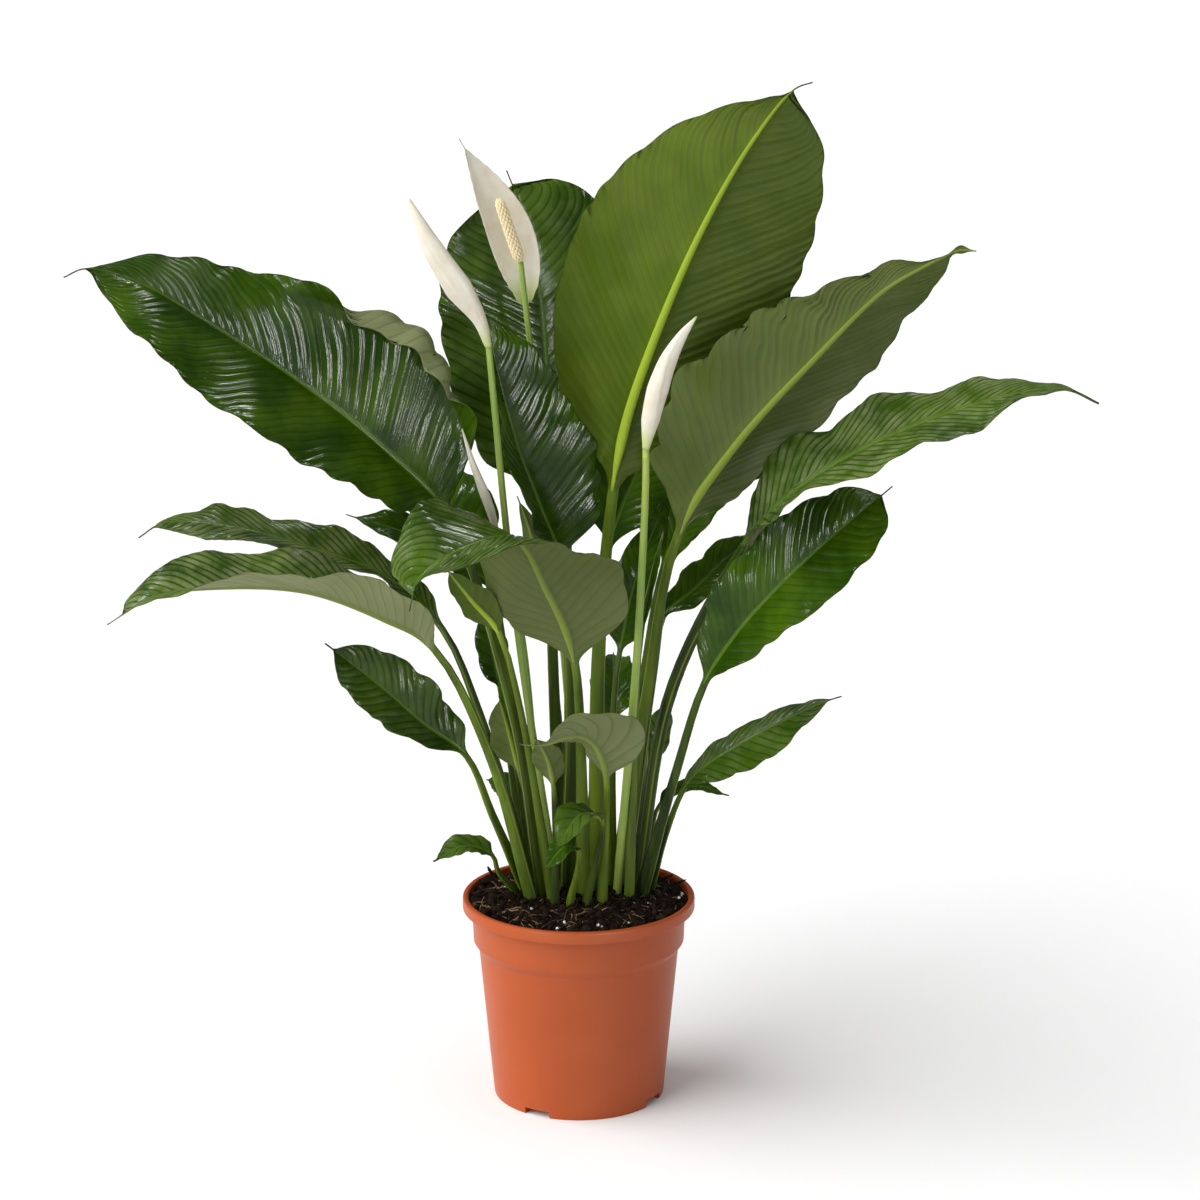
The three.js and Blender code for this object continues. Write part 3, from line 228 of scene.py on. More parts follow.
      rib=[[52, 58, 236], [60, 66, 258], [66, 76, 276]], faces=[[-0.3, -0.8, 0.5], [-0.2, -0.8, 0.5]],
      stalk_radius=[2.8, 1.8]),
    "right_curl": dict(size="small", foot=[53, 22], stalk=[[54, 44, 184]], halves=[8, 8], rib=[[60, 50, 204],
      [84, 54, 217], [112, 56, 210]], faces=[[-0.2, -0.5, 0.9], [0.2, -0.5, 0.9]], fold=[30, 14],
      stalk_radius=[2.4, 1.6]),
    "left_lowest": dict(size="small", foot=[-45, -6], stalk=[[-58, -22, 176]], halves=[12, 12],
      rib=[[-62, -26, 190], [-82, -34, 200], [-104, -40, 190]], faces=[[0.1, -0.5, 0.9], [-0.2, -0.5, 0.9]],
      stalk_radius=[2.6, 1.7]),
    "front_tiny": dict(size="small", foot=[6, -26], stalk=[[16, -34, 205]], halves=[15, 15],
      rib=[[17, -40, 222], [2, -54, 230], [-16, -62, 206]], faces=[[0.1, 0.1, 1], [-0.4, -0.7, 0.5]],
      fold=[14, 14], stalk_radius=[2.6, 1.7]),
    "front_lowest": dict(size="small", foot=[-6, -30], stalk=[[0, -38, 188]], halves=[10, 10],
      rib=[[0, -42, 200], [-10, -52, 205], [-24, -58, 190]], faces=[[0.1, 0.1, 1], [-0.4, -0.7, 0.5]],
      fold=[14, 14], stalk_radius=[2.4, 1.6]),
    "young_rolled": dict(size="small", foot=[37, -12], stalk=[[43, -22, 340]], halves=[5, 5],
      rib=[[45, -25, 358], [52, -28, 396], [61, -30, 433]], faces=2 * [[0.3, -0.9, 0.2]], fold=[60, 60],
      wave=[0, 1], stalk_radius=[3, 2.2]),
}
for row in LEAVES.values():
    row.setdefault("fold", [20, 10])
    row.setdefault("wave", [1, 2] if row["size"] == "small" else [3, 3])

# How each underside is coloured, from grey-olive 0 to yellow-green 1, partly the leaf's own tint and partly
# a painted glow of light shining through it.
TONES = {"tall": 0.95, "right_upper": 0.35, "under_arch": 0.9, "dark_low": 0.5}
PLAIN_TONE = 0.15
# Painted light, 0 to 1, on each leaf: sheen painted as pale stripes between the side veins of its upper
# side, and a paler colour painted on its underside where the lamps leave it dark.
PAINTED_SHEEN_UPPER = {
    "left_upper": 0.7, "left_lower": 0.8, "front_arch": 0.4, "right_long": 0.65, "left_small": 0.2,
    "right_low": 0.25, "right_tiny": 0.3, "left_lowest": 0.2, "front_tiny": 0.15, "back_left": 0.2,
}
PAINTED_LIGHT_UNDER = {"left_lower": 1.0, "left_large": 0.9, "front_small": 0.5, "front_arch": 0.1}
# How light a stalk is, 0 to 1, where it isn't left to chance; the dark end is partly painted shade of the
# clump's deep inside.
STALK_TONES = {
    "tall": 0.9, "right_upper": 0.6, "right_long": 0.1, "right_mid": 0.0, "right_low": 0.2,
    "left_large": 0.4, "front_arch": 0.5, "front_small": 0.8, "centre_dark": 0.4,
}

# Flower stems: foot, radius at the foot and the end, and points up to the end.
STEMS = {
    "open": dict(foot=[2, 22], radius=[3, 2], points=[[-12, 20, 343], [-30, 14, 520], [-40, 2, 617]]),
    "curved": dict(
        foot=[-16, -4], radius=[3, 2.2],
        points=[[-42, -22, 348], [-51, -32, 440], [-57, -44, 516], [-61, -50, 566]],
    ),
    "right": dict(foot=[28, -6], radius=[3.2, 2.4], points=[[42, -40, 351], [47, -70, 475], [47, -76, 500]]),
    "bud": dict(foot=[-26, 24], radius=[2.4, 1.8], points=[[-40, 4, 344], [-50, -12, 396], [-57, -30, 430]]),
}
OPEN_SPATHE = dict(
    rib=[[-37, 9.4, 584], [-39, 12, 606], [-48, 15, 638], [-63, 12, 669], [-76, 4, 692], [-82, -4, 704]],
    halves=[18.5, 17], faces=[[0.1, -0.95, 0.1], [0.1, -0.95, 0.2]], fold=[24, 20], wave=[0.8, 2],
    outline=[0.75, 1.15],
)
# The spadix: its top, its radius, the height of its knobs, and their number round it and along it.
SPADIX = dict(top=[-55, -2, 662], radius=4.1, bump=0.5, around=8, turns=11)

# Closed spathes: the centre line beyond the stem, half widths and depths along it, and the way it faces.
CLOSED_SPATHES = {
    "curved": dict(
        line=[[-67, -52, 585], [-81, -54, 607], [-98, -54, 634], [-109, -52, 656], [-114, -50, 668]],
        wide=[2.4, 5, 10, 7.6, 3.6, 0.5], deep=[2.4, 4.2, 6.6, 5, 2.6, 0.5], faces=[-0.3, -0.95, 0],
    ),
    "right": dict(
        line=[[50, -78, 520], [55, -80, 542], [62, -80, 562], [72, -80, 580], [81, -80, 592]],
        wide=[2.4, 6.4, 7.6, 6.2, 3.4, 0.5], deep=[2.4, 5, 5.8, 4.6, 2.6, 0.5], faces=[0.2, -0.97, 0],
    ),
    "bud": dict(
        line=[[-61, -38, 448], [-66, -43, 464], [-73, -46, 484], [-80, -47, 508]],
        wide=[2, 3.2, 3.4, 2.2, 0.5], deep=[2, 3, 3.2, 2, 0.5], faces=[0, -1, 0],
    ),
}

# Bits of bark that stick out of the peat: low end, high end, half thickness.
BARK_BITS = [
    [(-62, 43, 148), (-68.5, 46, 157.5), 1.6], [(-67, 38, 148.5), (-60, 46, 154.5), 1.5],
    [(-71, 22, 148), (-74, 27, 154), 1.3], [(64, 25, 148.5), (79.5, 21, 155.5), 1.3],
    [(58, 34, 149), (70, 38, 154), 1.4], [(70, 10, 148), (73, 3, 153.5), 1.1],
    [(-4, -34, 152.5), (5, -45, 155.5), 0.8], [(-34, -44, 150), (-28, -52, 154), 0.9],
    [(34, -42, 150.5), (46, -46, 153.5), 0.9], [(-58, -22, 149.5), (-64, -30, 153), 1.0],
]

# ---------------------------------------------------------------- light and camera, in metres
SUN_STRENGTH = 4.2
SUN_BREADTH = 76  # degrees, so that shadows are soft
SUN_SIDE = (-0.76, -0.22, 0.61)
BACKDROP_LIGHT = 0.46
BACKDROP_GLOSS = 0.12

# Boxes that show as gloss only: place, the point each is aimed at, size and power.
GLOSS_BOXES = {
    "front_right": [(1.0, -2.0, 0.65), (-0.1, 0, 0.5), (0.09, 0.8), 28],
    "front_left": [(-1.35, -1.9, 0.4), (0.15, 0, 0.4), (0.09, 0.6), 17],
    "upper_left": [(-1.4, 0.1, 2.4), (0.1, 0, 0.45), (0.25, 0.3), 13],
    "overhead": [(0.55, 0.2, 2.55), (-0.1, 0, 0.45), (0.25, 0.3), 18],
}
CAMERA_LENS = 99.33
CAMERA_PLACE = (0.0156, -2.3, 0.955)
CAMERA_TILT = 14.18  # degrees below level


# ---------------------------------------------------------------- materials
def material(name):
    made = bpy.data.materials.new(name)
    made.use_nodes = True
    return made, made.node_tree, made.node_tree.nodes["Principled BSDF"]


def node(tree, kind, inputs=(), **settings):
    """A new shader node, with its settings, and its inputs set to values or linked to sockets."""
    made = tree.nodes.new("ShaderNode" + kind)
    for key, value in settings.items():
        setattr(made, key, value)
    for socket, value in dict(inputs).items():
        if isinstance(value, bpy.types.NodeSocket):
            tree.links.new(value, made.inputs[socket])
        else:
            made.inputs[socket].default_value = value
    return made


def math_node(tree, operation, first, second=0.0):
    return node(tree, "Math", {0: first, 1: second}, operation=operation).outputs[0]


def product(tree, first, second):
    return math_node(tree, "MULTIPLY", first, second)


def blend(tree, factor, first, second):
    """From the first colour to the second; a colour is three values or a socket."""
    first, second = (c if isinstance(c, bpy.types.NodeSocket) else (*c, 1.0) for c in (first, second))
    return node(tree, "Mix", {0: factor, 6: first, 7: second}, data_type="RGBA").outputs[2]


def ranged(tree, value, low, high):
    """From low to high as a value goes from 0 to 1."""
    return node(tree, "MapRange", {"Value": value, "To Min": low, "To Max": high}).outputs[0]


def eased(tree, value, low, high):
    """0 below low, 1 above high, and smooth between."""
    inputs = {"Value": value, "From Min": low, "From Max": high}
    return node(tree, "MapRange", inputs, interpolation_type="SMOOTHSTEP").outputs[0]


def speckle(tree, scale, detail=3.0, roughness=0.55, stretch=(1, 1, 1)):
    """Noise on the object's own coordinates."""
    place = node(tree, "TexCoord").outputs["Object"]
    turned = node(tree, "Mapping", {"Vector": place, "Scale": stretch}).outputs[0]
    inputs = {"Vector": turned, "Scale": scale, "Detail": detail, "Roughness": roughness}
    return node(tree, "TexNoise", inputs).outputs["Fac"]


def attribute(tree, name):
    return node(tree, "Attribute", attribute_name=name).outputs["Fac"]


def veins_map(tree):
    """The two coordinates of a piece's own map: round its section, and along it."""
    return node(tree, "SeparateXYZ", {0: node(tree, "UVMap", uv_map="veins").outputs[0]}).outputs[:2]


def add_relief(tree, surface, height, strength, depth):
    """Fine relief; depth is in metres."""
    bump = node(tree, "Bump", {"Strength": strength, "Distance": depth, "Height": height})
    tree.links.new(bump.outputs[0], surface.inputs["Normal"])


def coated(tree, surface, shown, roughness, gloss=None):
    """Gives a surface its colour and roughness, and its gloss where that isn't the usual one."""
    tree.links.new(shown, surface.inputs["Base Color"])
    if isinstance(roughness, bpy.types.NodeSocket):
        tree.links.new(roughness, surface.inputs["Roughness"])
    else:
        surface.inputs["Roughness"].default_value = roughness
    if gloss is not None:
        surface.inputs["Specular IOR Level"].default_value = gloss


def speckled_material(name, pattern, limits, colours, roughness, gloss=None, relief=None):
    """Two colours that a noise mixes between its two limits. The noise may also make a relief."""
    made, tree, surface = material(name)
    mixing = speckle(tree, **pattern)
    coated(tree, surface, blend(tree, eased(tree, mixing, *limits), *colours), roughness, gloss)
    if relief is not None:
        add_relief(tree, surface, mixing, *relief)
    return made


def upper_side(tree, band, vein_shade, rib, mottle):
    """Deep and fresh green, with painted sheen as pale stripes between the side veins, and painted shade
    darkening the sunken side veins.
    """
    shown = blend(tree, eased(tree, mottle, 0.3, 0.75), (0.015, 0.045, 0.001), (0.05, 0.105, 0.003))
    # Painted sheen: pale stripes between the side veins, in patches, on the leaves that have it.
    patches = eased(tree, speckle(tree, 60.0), 0.25, 0.75)
    sheen_stripes = product(tree, eased(tree, band, -0.04, 0.3), patches)
    shown = blend(tree, product(tree, attribute(tree, "painted_sheen_upper"), sheen_stripes), shown, (0.21, 0.255, 0.1))
    # Painted shade along the sunken side veins.
    shown = blend(tree, product(tree, vein_shade, 0.4), shown, (0.006, 0.02, 0.0006))
    return blend(tree, product(tree, rib, 0.75), shown, (0.1, 0.2, 0.012))


def lower_side(tree, vein_shade, rib, mottle):
    """Olive, worn paler in patches, grey to yellow-green by the leaf's tone, partly a painted glow of light
    through the leaf; with painted light on some leaves, painted shade in the side veins, and a pale rib.
    """
    # The yellow-green end of the tone is partly a painted glow of light shining through the leaf.
    tone = attribute(tree, "tone")
    shown = blend(tree, tone, (0.075, 0.098, 0.022), (0.05, 0.088, 0.0006))
    worn = blend(tree, tone, (0.12, 0.13, 0.05), (0.1, 0.14, 0.008))
    shown = blend(tree, product(tree, eased(tree, mottle, 0.35, 0.7), 0.4), shown, worn)
    # Painted light on the undersides that the lamps leave dark.
    shown = blend(tree, product(tree, attribute(tree, "painted_light_under"), 0.75), shown, (0.25, 0.28, 0.13))
    # Painted shade along the sunken side veins.
    shown = blend(tree, product(tree, vein_shade, 0.32), shown, (0.03, 0.05, 0.004))
    return blend(tree, rib, shown, blend(tree, tone, (0.16, 0.21, 0.04), (0.36, 0.5, 0.03)))


def stalk_side(tree, around):
    """Streaked lengthwise, dark or light by the leaf's stalk tone, the dark colour partly painted shade of
    the clump's inside, with pale edges along its channel.
    """
    streak = eased(tree, speckle(tree, 90.0, stretch=(1, 1, 0.06)), 0.35, 0.65)
    # The dark colour is darkened also as painted shade for the deep inside of the clump.
    dark = blend(tree, streak, (0.01, 0.022, 0.001), (0.035, 0.068, 0.003))
    light = blend(tree, streak, (0.085, 0.14, 0.005), (0.17, 0.25, 0.014))
    shown = blend(tree, attribute(tree, "light_stalk"), dark, light)
    edge = eased(tree, math_node(tree, "PINGPONG", around, 0.25), 0.035, 0.0)
    return blend(tree, product(tree, edge, 0.6), shown, (0.26, 0.34, 0.06))


def leaf_material():
    """Glossy dark upper side, matte olive underside, pale ribs and green stalks, by the blade's own map."""
    made, tree, surface = material("lily_leaf")
    around, vein = veins_map(tree)
    under = math_node(tree, "GREATER_THAN", around, 0.5)
    rib, stalk = attribute(tree, "rib"), attribute(tree, "stalk")
    band = math_node(tree, "PINGPONG", vein, 0.5)  # 0 in a side vein, 0.5 midway
    # Painted shade along the sunken side veins, which lie where the band is 0.
    vein_shade = eased(tree, band, 0.14, 0.0)
    mottle = speckle(tree, 26.0)
    above = upper_side(tree, band, vein_shade, rib, mottle)
    shown = blend(tree, under, above, lower_side(tree, vein_shade, rib, mottle))
    shown = blend(tree, stalk, shown, stalk_side(tree, around))
    shown = blend(tree, attribute(tree, "tip"), shown, (0.035, 0.022, 0.016))
    grain = speckle(tree, 420.0)
    matte = math_node(tree, "MAXIMUM", under, product(tree, stalk, 0.7))
    rough = math_node(tree, "ADD", product(tree, grain, 0.1), ranged(tree, matte, 0.12, 0.56))
    coated(tree, surface, shown, rough, 0.19)
    lines = math_node(tree, "PINGPONG", product(tree, vein, 5.0), 0.5)
    height = math_node(tree, "ADD", product(tree, lines, 0.8), product(tree, grain, 0.9))
    add_relief(tree, surface, height, 0.4, 0.0003)
    return made


def stem_material():
    """Fresh green, streaked lengthwise."""
    pattern = dict(scale=60.0, stretch=(1, 1, 0.08))
    colours = [(0.19, 0.31, 0.035), (0.34, 0.44, 0.08)]
    return speckled_material("flower_stem", pattern, (0.3, 0.7), colours, 0.42, relief=(0.2, 0.0004))


def spathe_material():
    """White, with clouds of beige painted shade, faintly veined lengthwise, shading to green at the foot and
    the tip.
    """
    made, tree, surface = material("white_spathe")
    around, along = veins_map(tree)
    line = math_node(tree, "PINGPONG", product(tree, around, 34.0), 0.5)
    cloud = speckle(tree, 70.0)
    # Clouds of painted shade: the white mixed with the beige of its shaded parts.
    shown = blend(tree, eased(tree, cloud, 0.3, 0.75), (0.72, 0.69, 0.58), (0.66, 0.59, 0.46))
    shown = blend(tree, eased(tree, along, 0.2, 0.0), shown, (0.5, 0.58, 0.2))
    shown = blend(tree, eased(tree, along, 0.9, 1.0), shown, (0.5, 0.55, 0.3))
    coated(tree, surface, shown, 0.45)
    height = math_node(tree, "ADD", product(tree, line, 0.6), cloud)
    add_relief(tree, surface, height, 0.25, 0.0004)
    return made


def spadix_material():
    """Cream knobs with brown between them."""
    made, tree, surface = material("cream_spadix")
    knob = eased(tree, attribute(tree, "knob"), 0.05, 0.5)
    shown = blend(tree, knob, (0.42, 0.25, 0.08), (0.85, 0.72, 0.45))
    shown = blend(tree, product(tree, speckle(tree, 500.0), 0.25), shown, (0.6, 0.45, 0.2))
    coated(tree, surface, shown, 0.65)
    return made


def pot_material():
    """Terracotta-coloured plastic with a fine moulded grain."""
    made, tree, surface = material("terracotta_plastic")
    cloud = speckle(tree, 14.0)
    shown = blend(tree, eased(tree, cloud, 0.3, 0.7), (0.365, 0.064, 0.011), (0.4, 0.074, 0.014))
    coated(tree, surface, shown, math_node(tree, "ADD", product(tree, cloud, 0.1), 0.36), 0.3)
    add_relief(tree, surface, speckle(tree, 900.0), 0.12, 0.0002)
    return made


def peat_material():
    """Nearly black clumps, browner between."""
    pattern = dict(scale=150.0, detail=6.0, roughness=0.7)
    colours = [(0.004, 0.0022, 0.0012), (0.034, 0.018, 0.01)]
    return speckled_material("dark_peat", pattern, (0.35, 0.75), colours, 0.85, 0.12, (0.8, 0.0015))


def mineral_material():
    """White grains with grey pits."""
    colours = [(0.45, 0.42, 0.38), (0.85, 0.83, 0.78)]
    return speckled_material("perlite", dict(scale=900.0), (0.3, 0.6), colours, 0.9)


def fibre_material():
    """Dry brown, from dark to straw."""
    colours = [(0.07, 0.04, 0.02), (0.3, 0.2, 0.1)]
    return speckled_material("peat_fibre", dict(scale=200.0), (0.35, 0.65), colours, 0.8)


def floor_material():
    """Pale and matte."""
    made, tree, surface = material("pale_floor")
    shown = blend(tree, speckle(tree, 0.5), (0.86, 0.86, 0.86), (0.88, 0.88, 0.88))
    coated(tree, surface, shown, 0.9, 0.1)
    return made


# ---------------------------------------------------------------- curves
def between(pair, part):
    """Evenly from the first of two values to the second."""
    return pair[0] + (pair[1] - pair[0]) * part


def smooth(value, low, high):
    x = min(max((value - low) / (high - low), 0.0), 1.0)
    return x * x * (3 - 2 * x)


def spline(points):
    """A centripetal curve through points, as a function of u from 0 to 1."""
    inner = [Vector(p) for p in points]
    knots = [2 * inner[0] - inner[1], *inner, 2 * inner[-1] - inner[-2]]
    spans = len(inner) - 1

    def at(u):
        place = min(max(u, 0.0), 1.0) * spans
        i = min(int(place), spans - 1)
        w = place - i
        a, b, c, d = knots[i:i + 4]
        ab, bc, cd = (max((q - p).length ** 0.5, 1e-6) for p, q in ((a, b), (b, c), (c, d)))
        out = ((b - a) / ab - (c - a) / (ab + bc) + (c - b) / bc) * bc
        into = ((c - b) / bc - (d - b) / (bc + cd) + (d - c) / cd) * bc
        square = 3 * (c - b) - 2 * out - into
        cube = 2 * (b - c) + out + into
        return b + out * w + square * w ** 2 + cube * w ** 3

    return at


def direction(curve, u):
    near = min(max(u, 0.001), 0.999)
    return (curve(near + 1e-4) - curve(near - 1e-4)).normalized()


def walk(curve, start, end, count):
    """Points and unit tangents at count even steps of length along part of a curve, and its length."""
    places = [start + (end - start) * i / WALK_STEPS for i in range(WALK_STEPS + 1)]
    points = [curve(u) for u in places]
    lengths = [0.0]
    for a, b in zip(points, points[1:]):
        lengths.append(lengths[-1] + (b - a).length)
    found = []
    i = 1
    for k in range(count + 1):
        wanted = lengths[-1] * k / count
        while i < WALK_STEPS and lengths[i] < wanted:
            i += 1
        part = (wanted - lengths[i - 1]) / (lengths[i] - lengths[i - 1])
        u = between(places[i - 1:i + 1], part)
        found.append((curve(u), direction(curve, u)))
    return found, lengths[-1]


def squared_to(facing, tangent):
    return (facing - tangent * facing.dot(tangent)).normalized()


def facing_at(faces, t, tangent):
    place = t * (len(faces) - 1)
    i = min(int(place), len(faces) - 2)
    first, second = Vector(faces[i]).normalized(), Vector(faces[i + 1]).normalized()
    return squared_to(first.lerp(second, place - i), tangent)


def soil_height(x, y):
    dome = SOIL_CROWN * (1 - (x * x + y * y) / SOIL_DOME_RADIUS ** 2)
    broad = 1.2 * math.sin(0.19 * x + 1) * math.sin(0.23 * y)
    return SOIL_EDGE + dome + broad + 0.8 * math.sin(0.41 * x + 0.33 * y)


def collar_point(foot):
    x, y = foot
    return Vector((x, y, soil_height(x, y) + STALK_OUT))


# ---------------------------------------------------------------- meshes
def tube(rows, around, place, map_point, marks=()):
    """A closed tube of faces: a grid whose long edges are welded, with both ends filled.
    place(row, column) is a vertex in millimetres, map_point(row, column) its place on the map named
    veins, and marks names vertex attributes, each with a function of row and column."""
    mesh = bmesh.new()
    bmesh.ops.create_grid(mesh, x_segments=around, y_segments=rows, size=1)
    chart = mesh.loops.layers.uv.new("veins")
    layers = {name: mesh.verts.layers.float.new(name) for name, _ in marks}
    spots = {}
    for vertex in mesh.verts:
        column = round((vertex.co.x + 1) / 2 * around)
        row = round((vertex.co.y + 1) / 2 * rows)
        spots[vertex] = (row, column)
    for face in mesh.faces:
        face.smooth = True
        for loop in face.loops:
            loop[chart].uv = map_point(*spots[loop.vert])
    for vertex, (row, column) in spots.items():
        vertex.co = Vector(place(row, column % around)) * MM
        for name, value in marks:
            vertex[layers[name]] = value(row, column % around)
    seam = [v for v, (_, column) in spots.items() if column in (0, around)]
    bmesh.ops.remove_doubles(mesh, verts=seam, dist=1e-7)
    ends = [edge for edge in mesh.edges if edge.is_boundary]
    bmesh.ops.holes_fill(mesh, edges=ends, sides=0)
    bmesh.ops.recalc_face_normals(mesh, faces=mesh.faces)
    return mesh


def in_scene(name, data):
    made = bpy.data.objects.new(name, data)
    bpy.context.scene.collection.objects.link(made)
    return made


def placed(mesh, name, finish=None):
    """The mesh as an object of the scene."""
    data = bpy.data.meshes.new(name)
    mesh.to_mesh(data)
    mesh.free()
    if finish:
        data.materials.append(finish)
    return in_scene(name, data)


def finish_piece(mesh, name, finish, slot, *nodes):
    piece = placed(mesh, name, finish)
    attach(piece, "root")
    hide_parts(*nodes)
    return piece


def strewn_piece(mesh, name, finish):
    """Loose bits on the soil, which stand for no solid of their own."""
    piece = placed(mesh, name, finish)
    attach(piece, "root")


def ring_angle(column, around):
    return math.pi - FULL_TURN * column / around


def ring_point(ring, x, z):
    """The place that lies x across and z up from the middle of a ring."""
    point, facing, right = ring
    return point + right * x + facing * z


def rings_down(found, facing):
    """Rings from the top of a stalk down, each a point, the way it faces, and its right."""
    rings = []
    for point, tangent in reversed(found):
        facing = squared_to(facing, tangent)
        rings.append((point, facing, tangent.cross(facing)))
    return rings


# ---------------------------------------------------------------- leaves
def outline_at(powers, t):
    """Half width of a blade at t along it, as a part of its greatest."""
    low, high = powers
    widest = low / (low + high)
    u = min(1, t / (1 - DRIP_TIP))
    return (u / widest) ** low * ((1 - u) / (1 - widest)) ** high


def rolled_margin(rolled, t, half, s):
    """Distance out and height of the point s across a half blade, and the angle it is turned by."""
    if not rolled or s <= 0 or not rolled["start"] < t < rolled["end"]:
        return half * abs(s), 0.0, 0.0
    amount = math.sin(math.pi * (t - rolled["start"]) / (rolled["end"] - rolled["start"])) ** 2
    turn = math.radians(rolled["turn"]) * amount
    wide = half * (1 + ROLL_SPARE * amount)
    start = wide - min(rolled["width"], ROLL_MAX_PART * wide)
    beyond = wide * s - start
    if beyond <= 0:
        return wide * s, 0.0, 0.0
    curl = min(turn, beyond / CURL_RADIUS)
    strip = beyond - curl * CURL_RADIUS
    out = start + CURL_RADIUS * math.sin(curl) + strip * math.cos(curl)
    return out, CURL_RADIUS * (1 - math.cos(curl)) + strip * math.sin(curl), curl


def across(column, columns, half, rib):
    """Distance from the midrib of a column of vertices, out of columns to the margin."""
    near = min(rib, 0.3 * half)
    last = len(RIB_COLUMNS) - 1
    if column <= last:
        return near * RIB_COLUMNS[column]
    if column == columns:
        return half
    start = near * RIB_COLUMNS[last]
    edge = max(0.9 * half, half - EDGE_WIDTH)
    return start + (edge - start) * (column - last) / (columns - 1 - last)


def blade_column(column, columns):
    """A column of a flat tube, counted from its middle, with the left ones below 0, and if it is above."""
    if column <= 2 * columns:
        return column - columns, True
    return 3 * columns - column, False


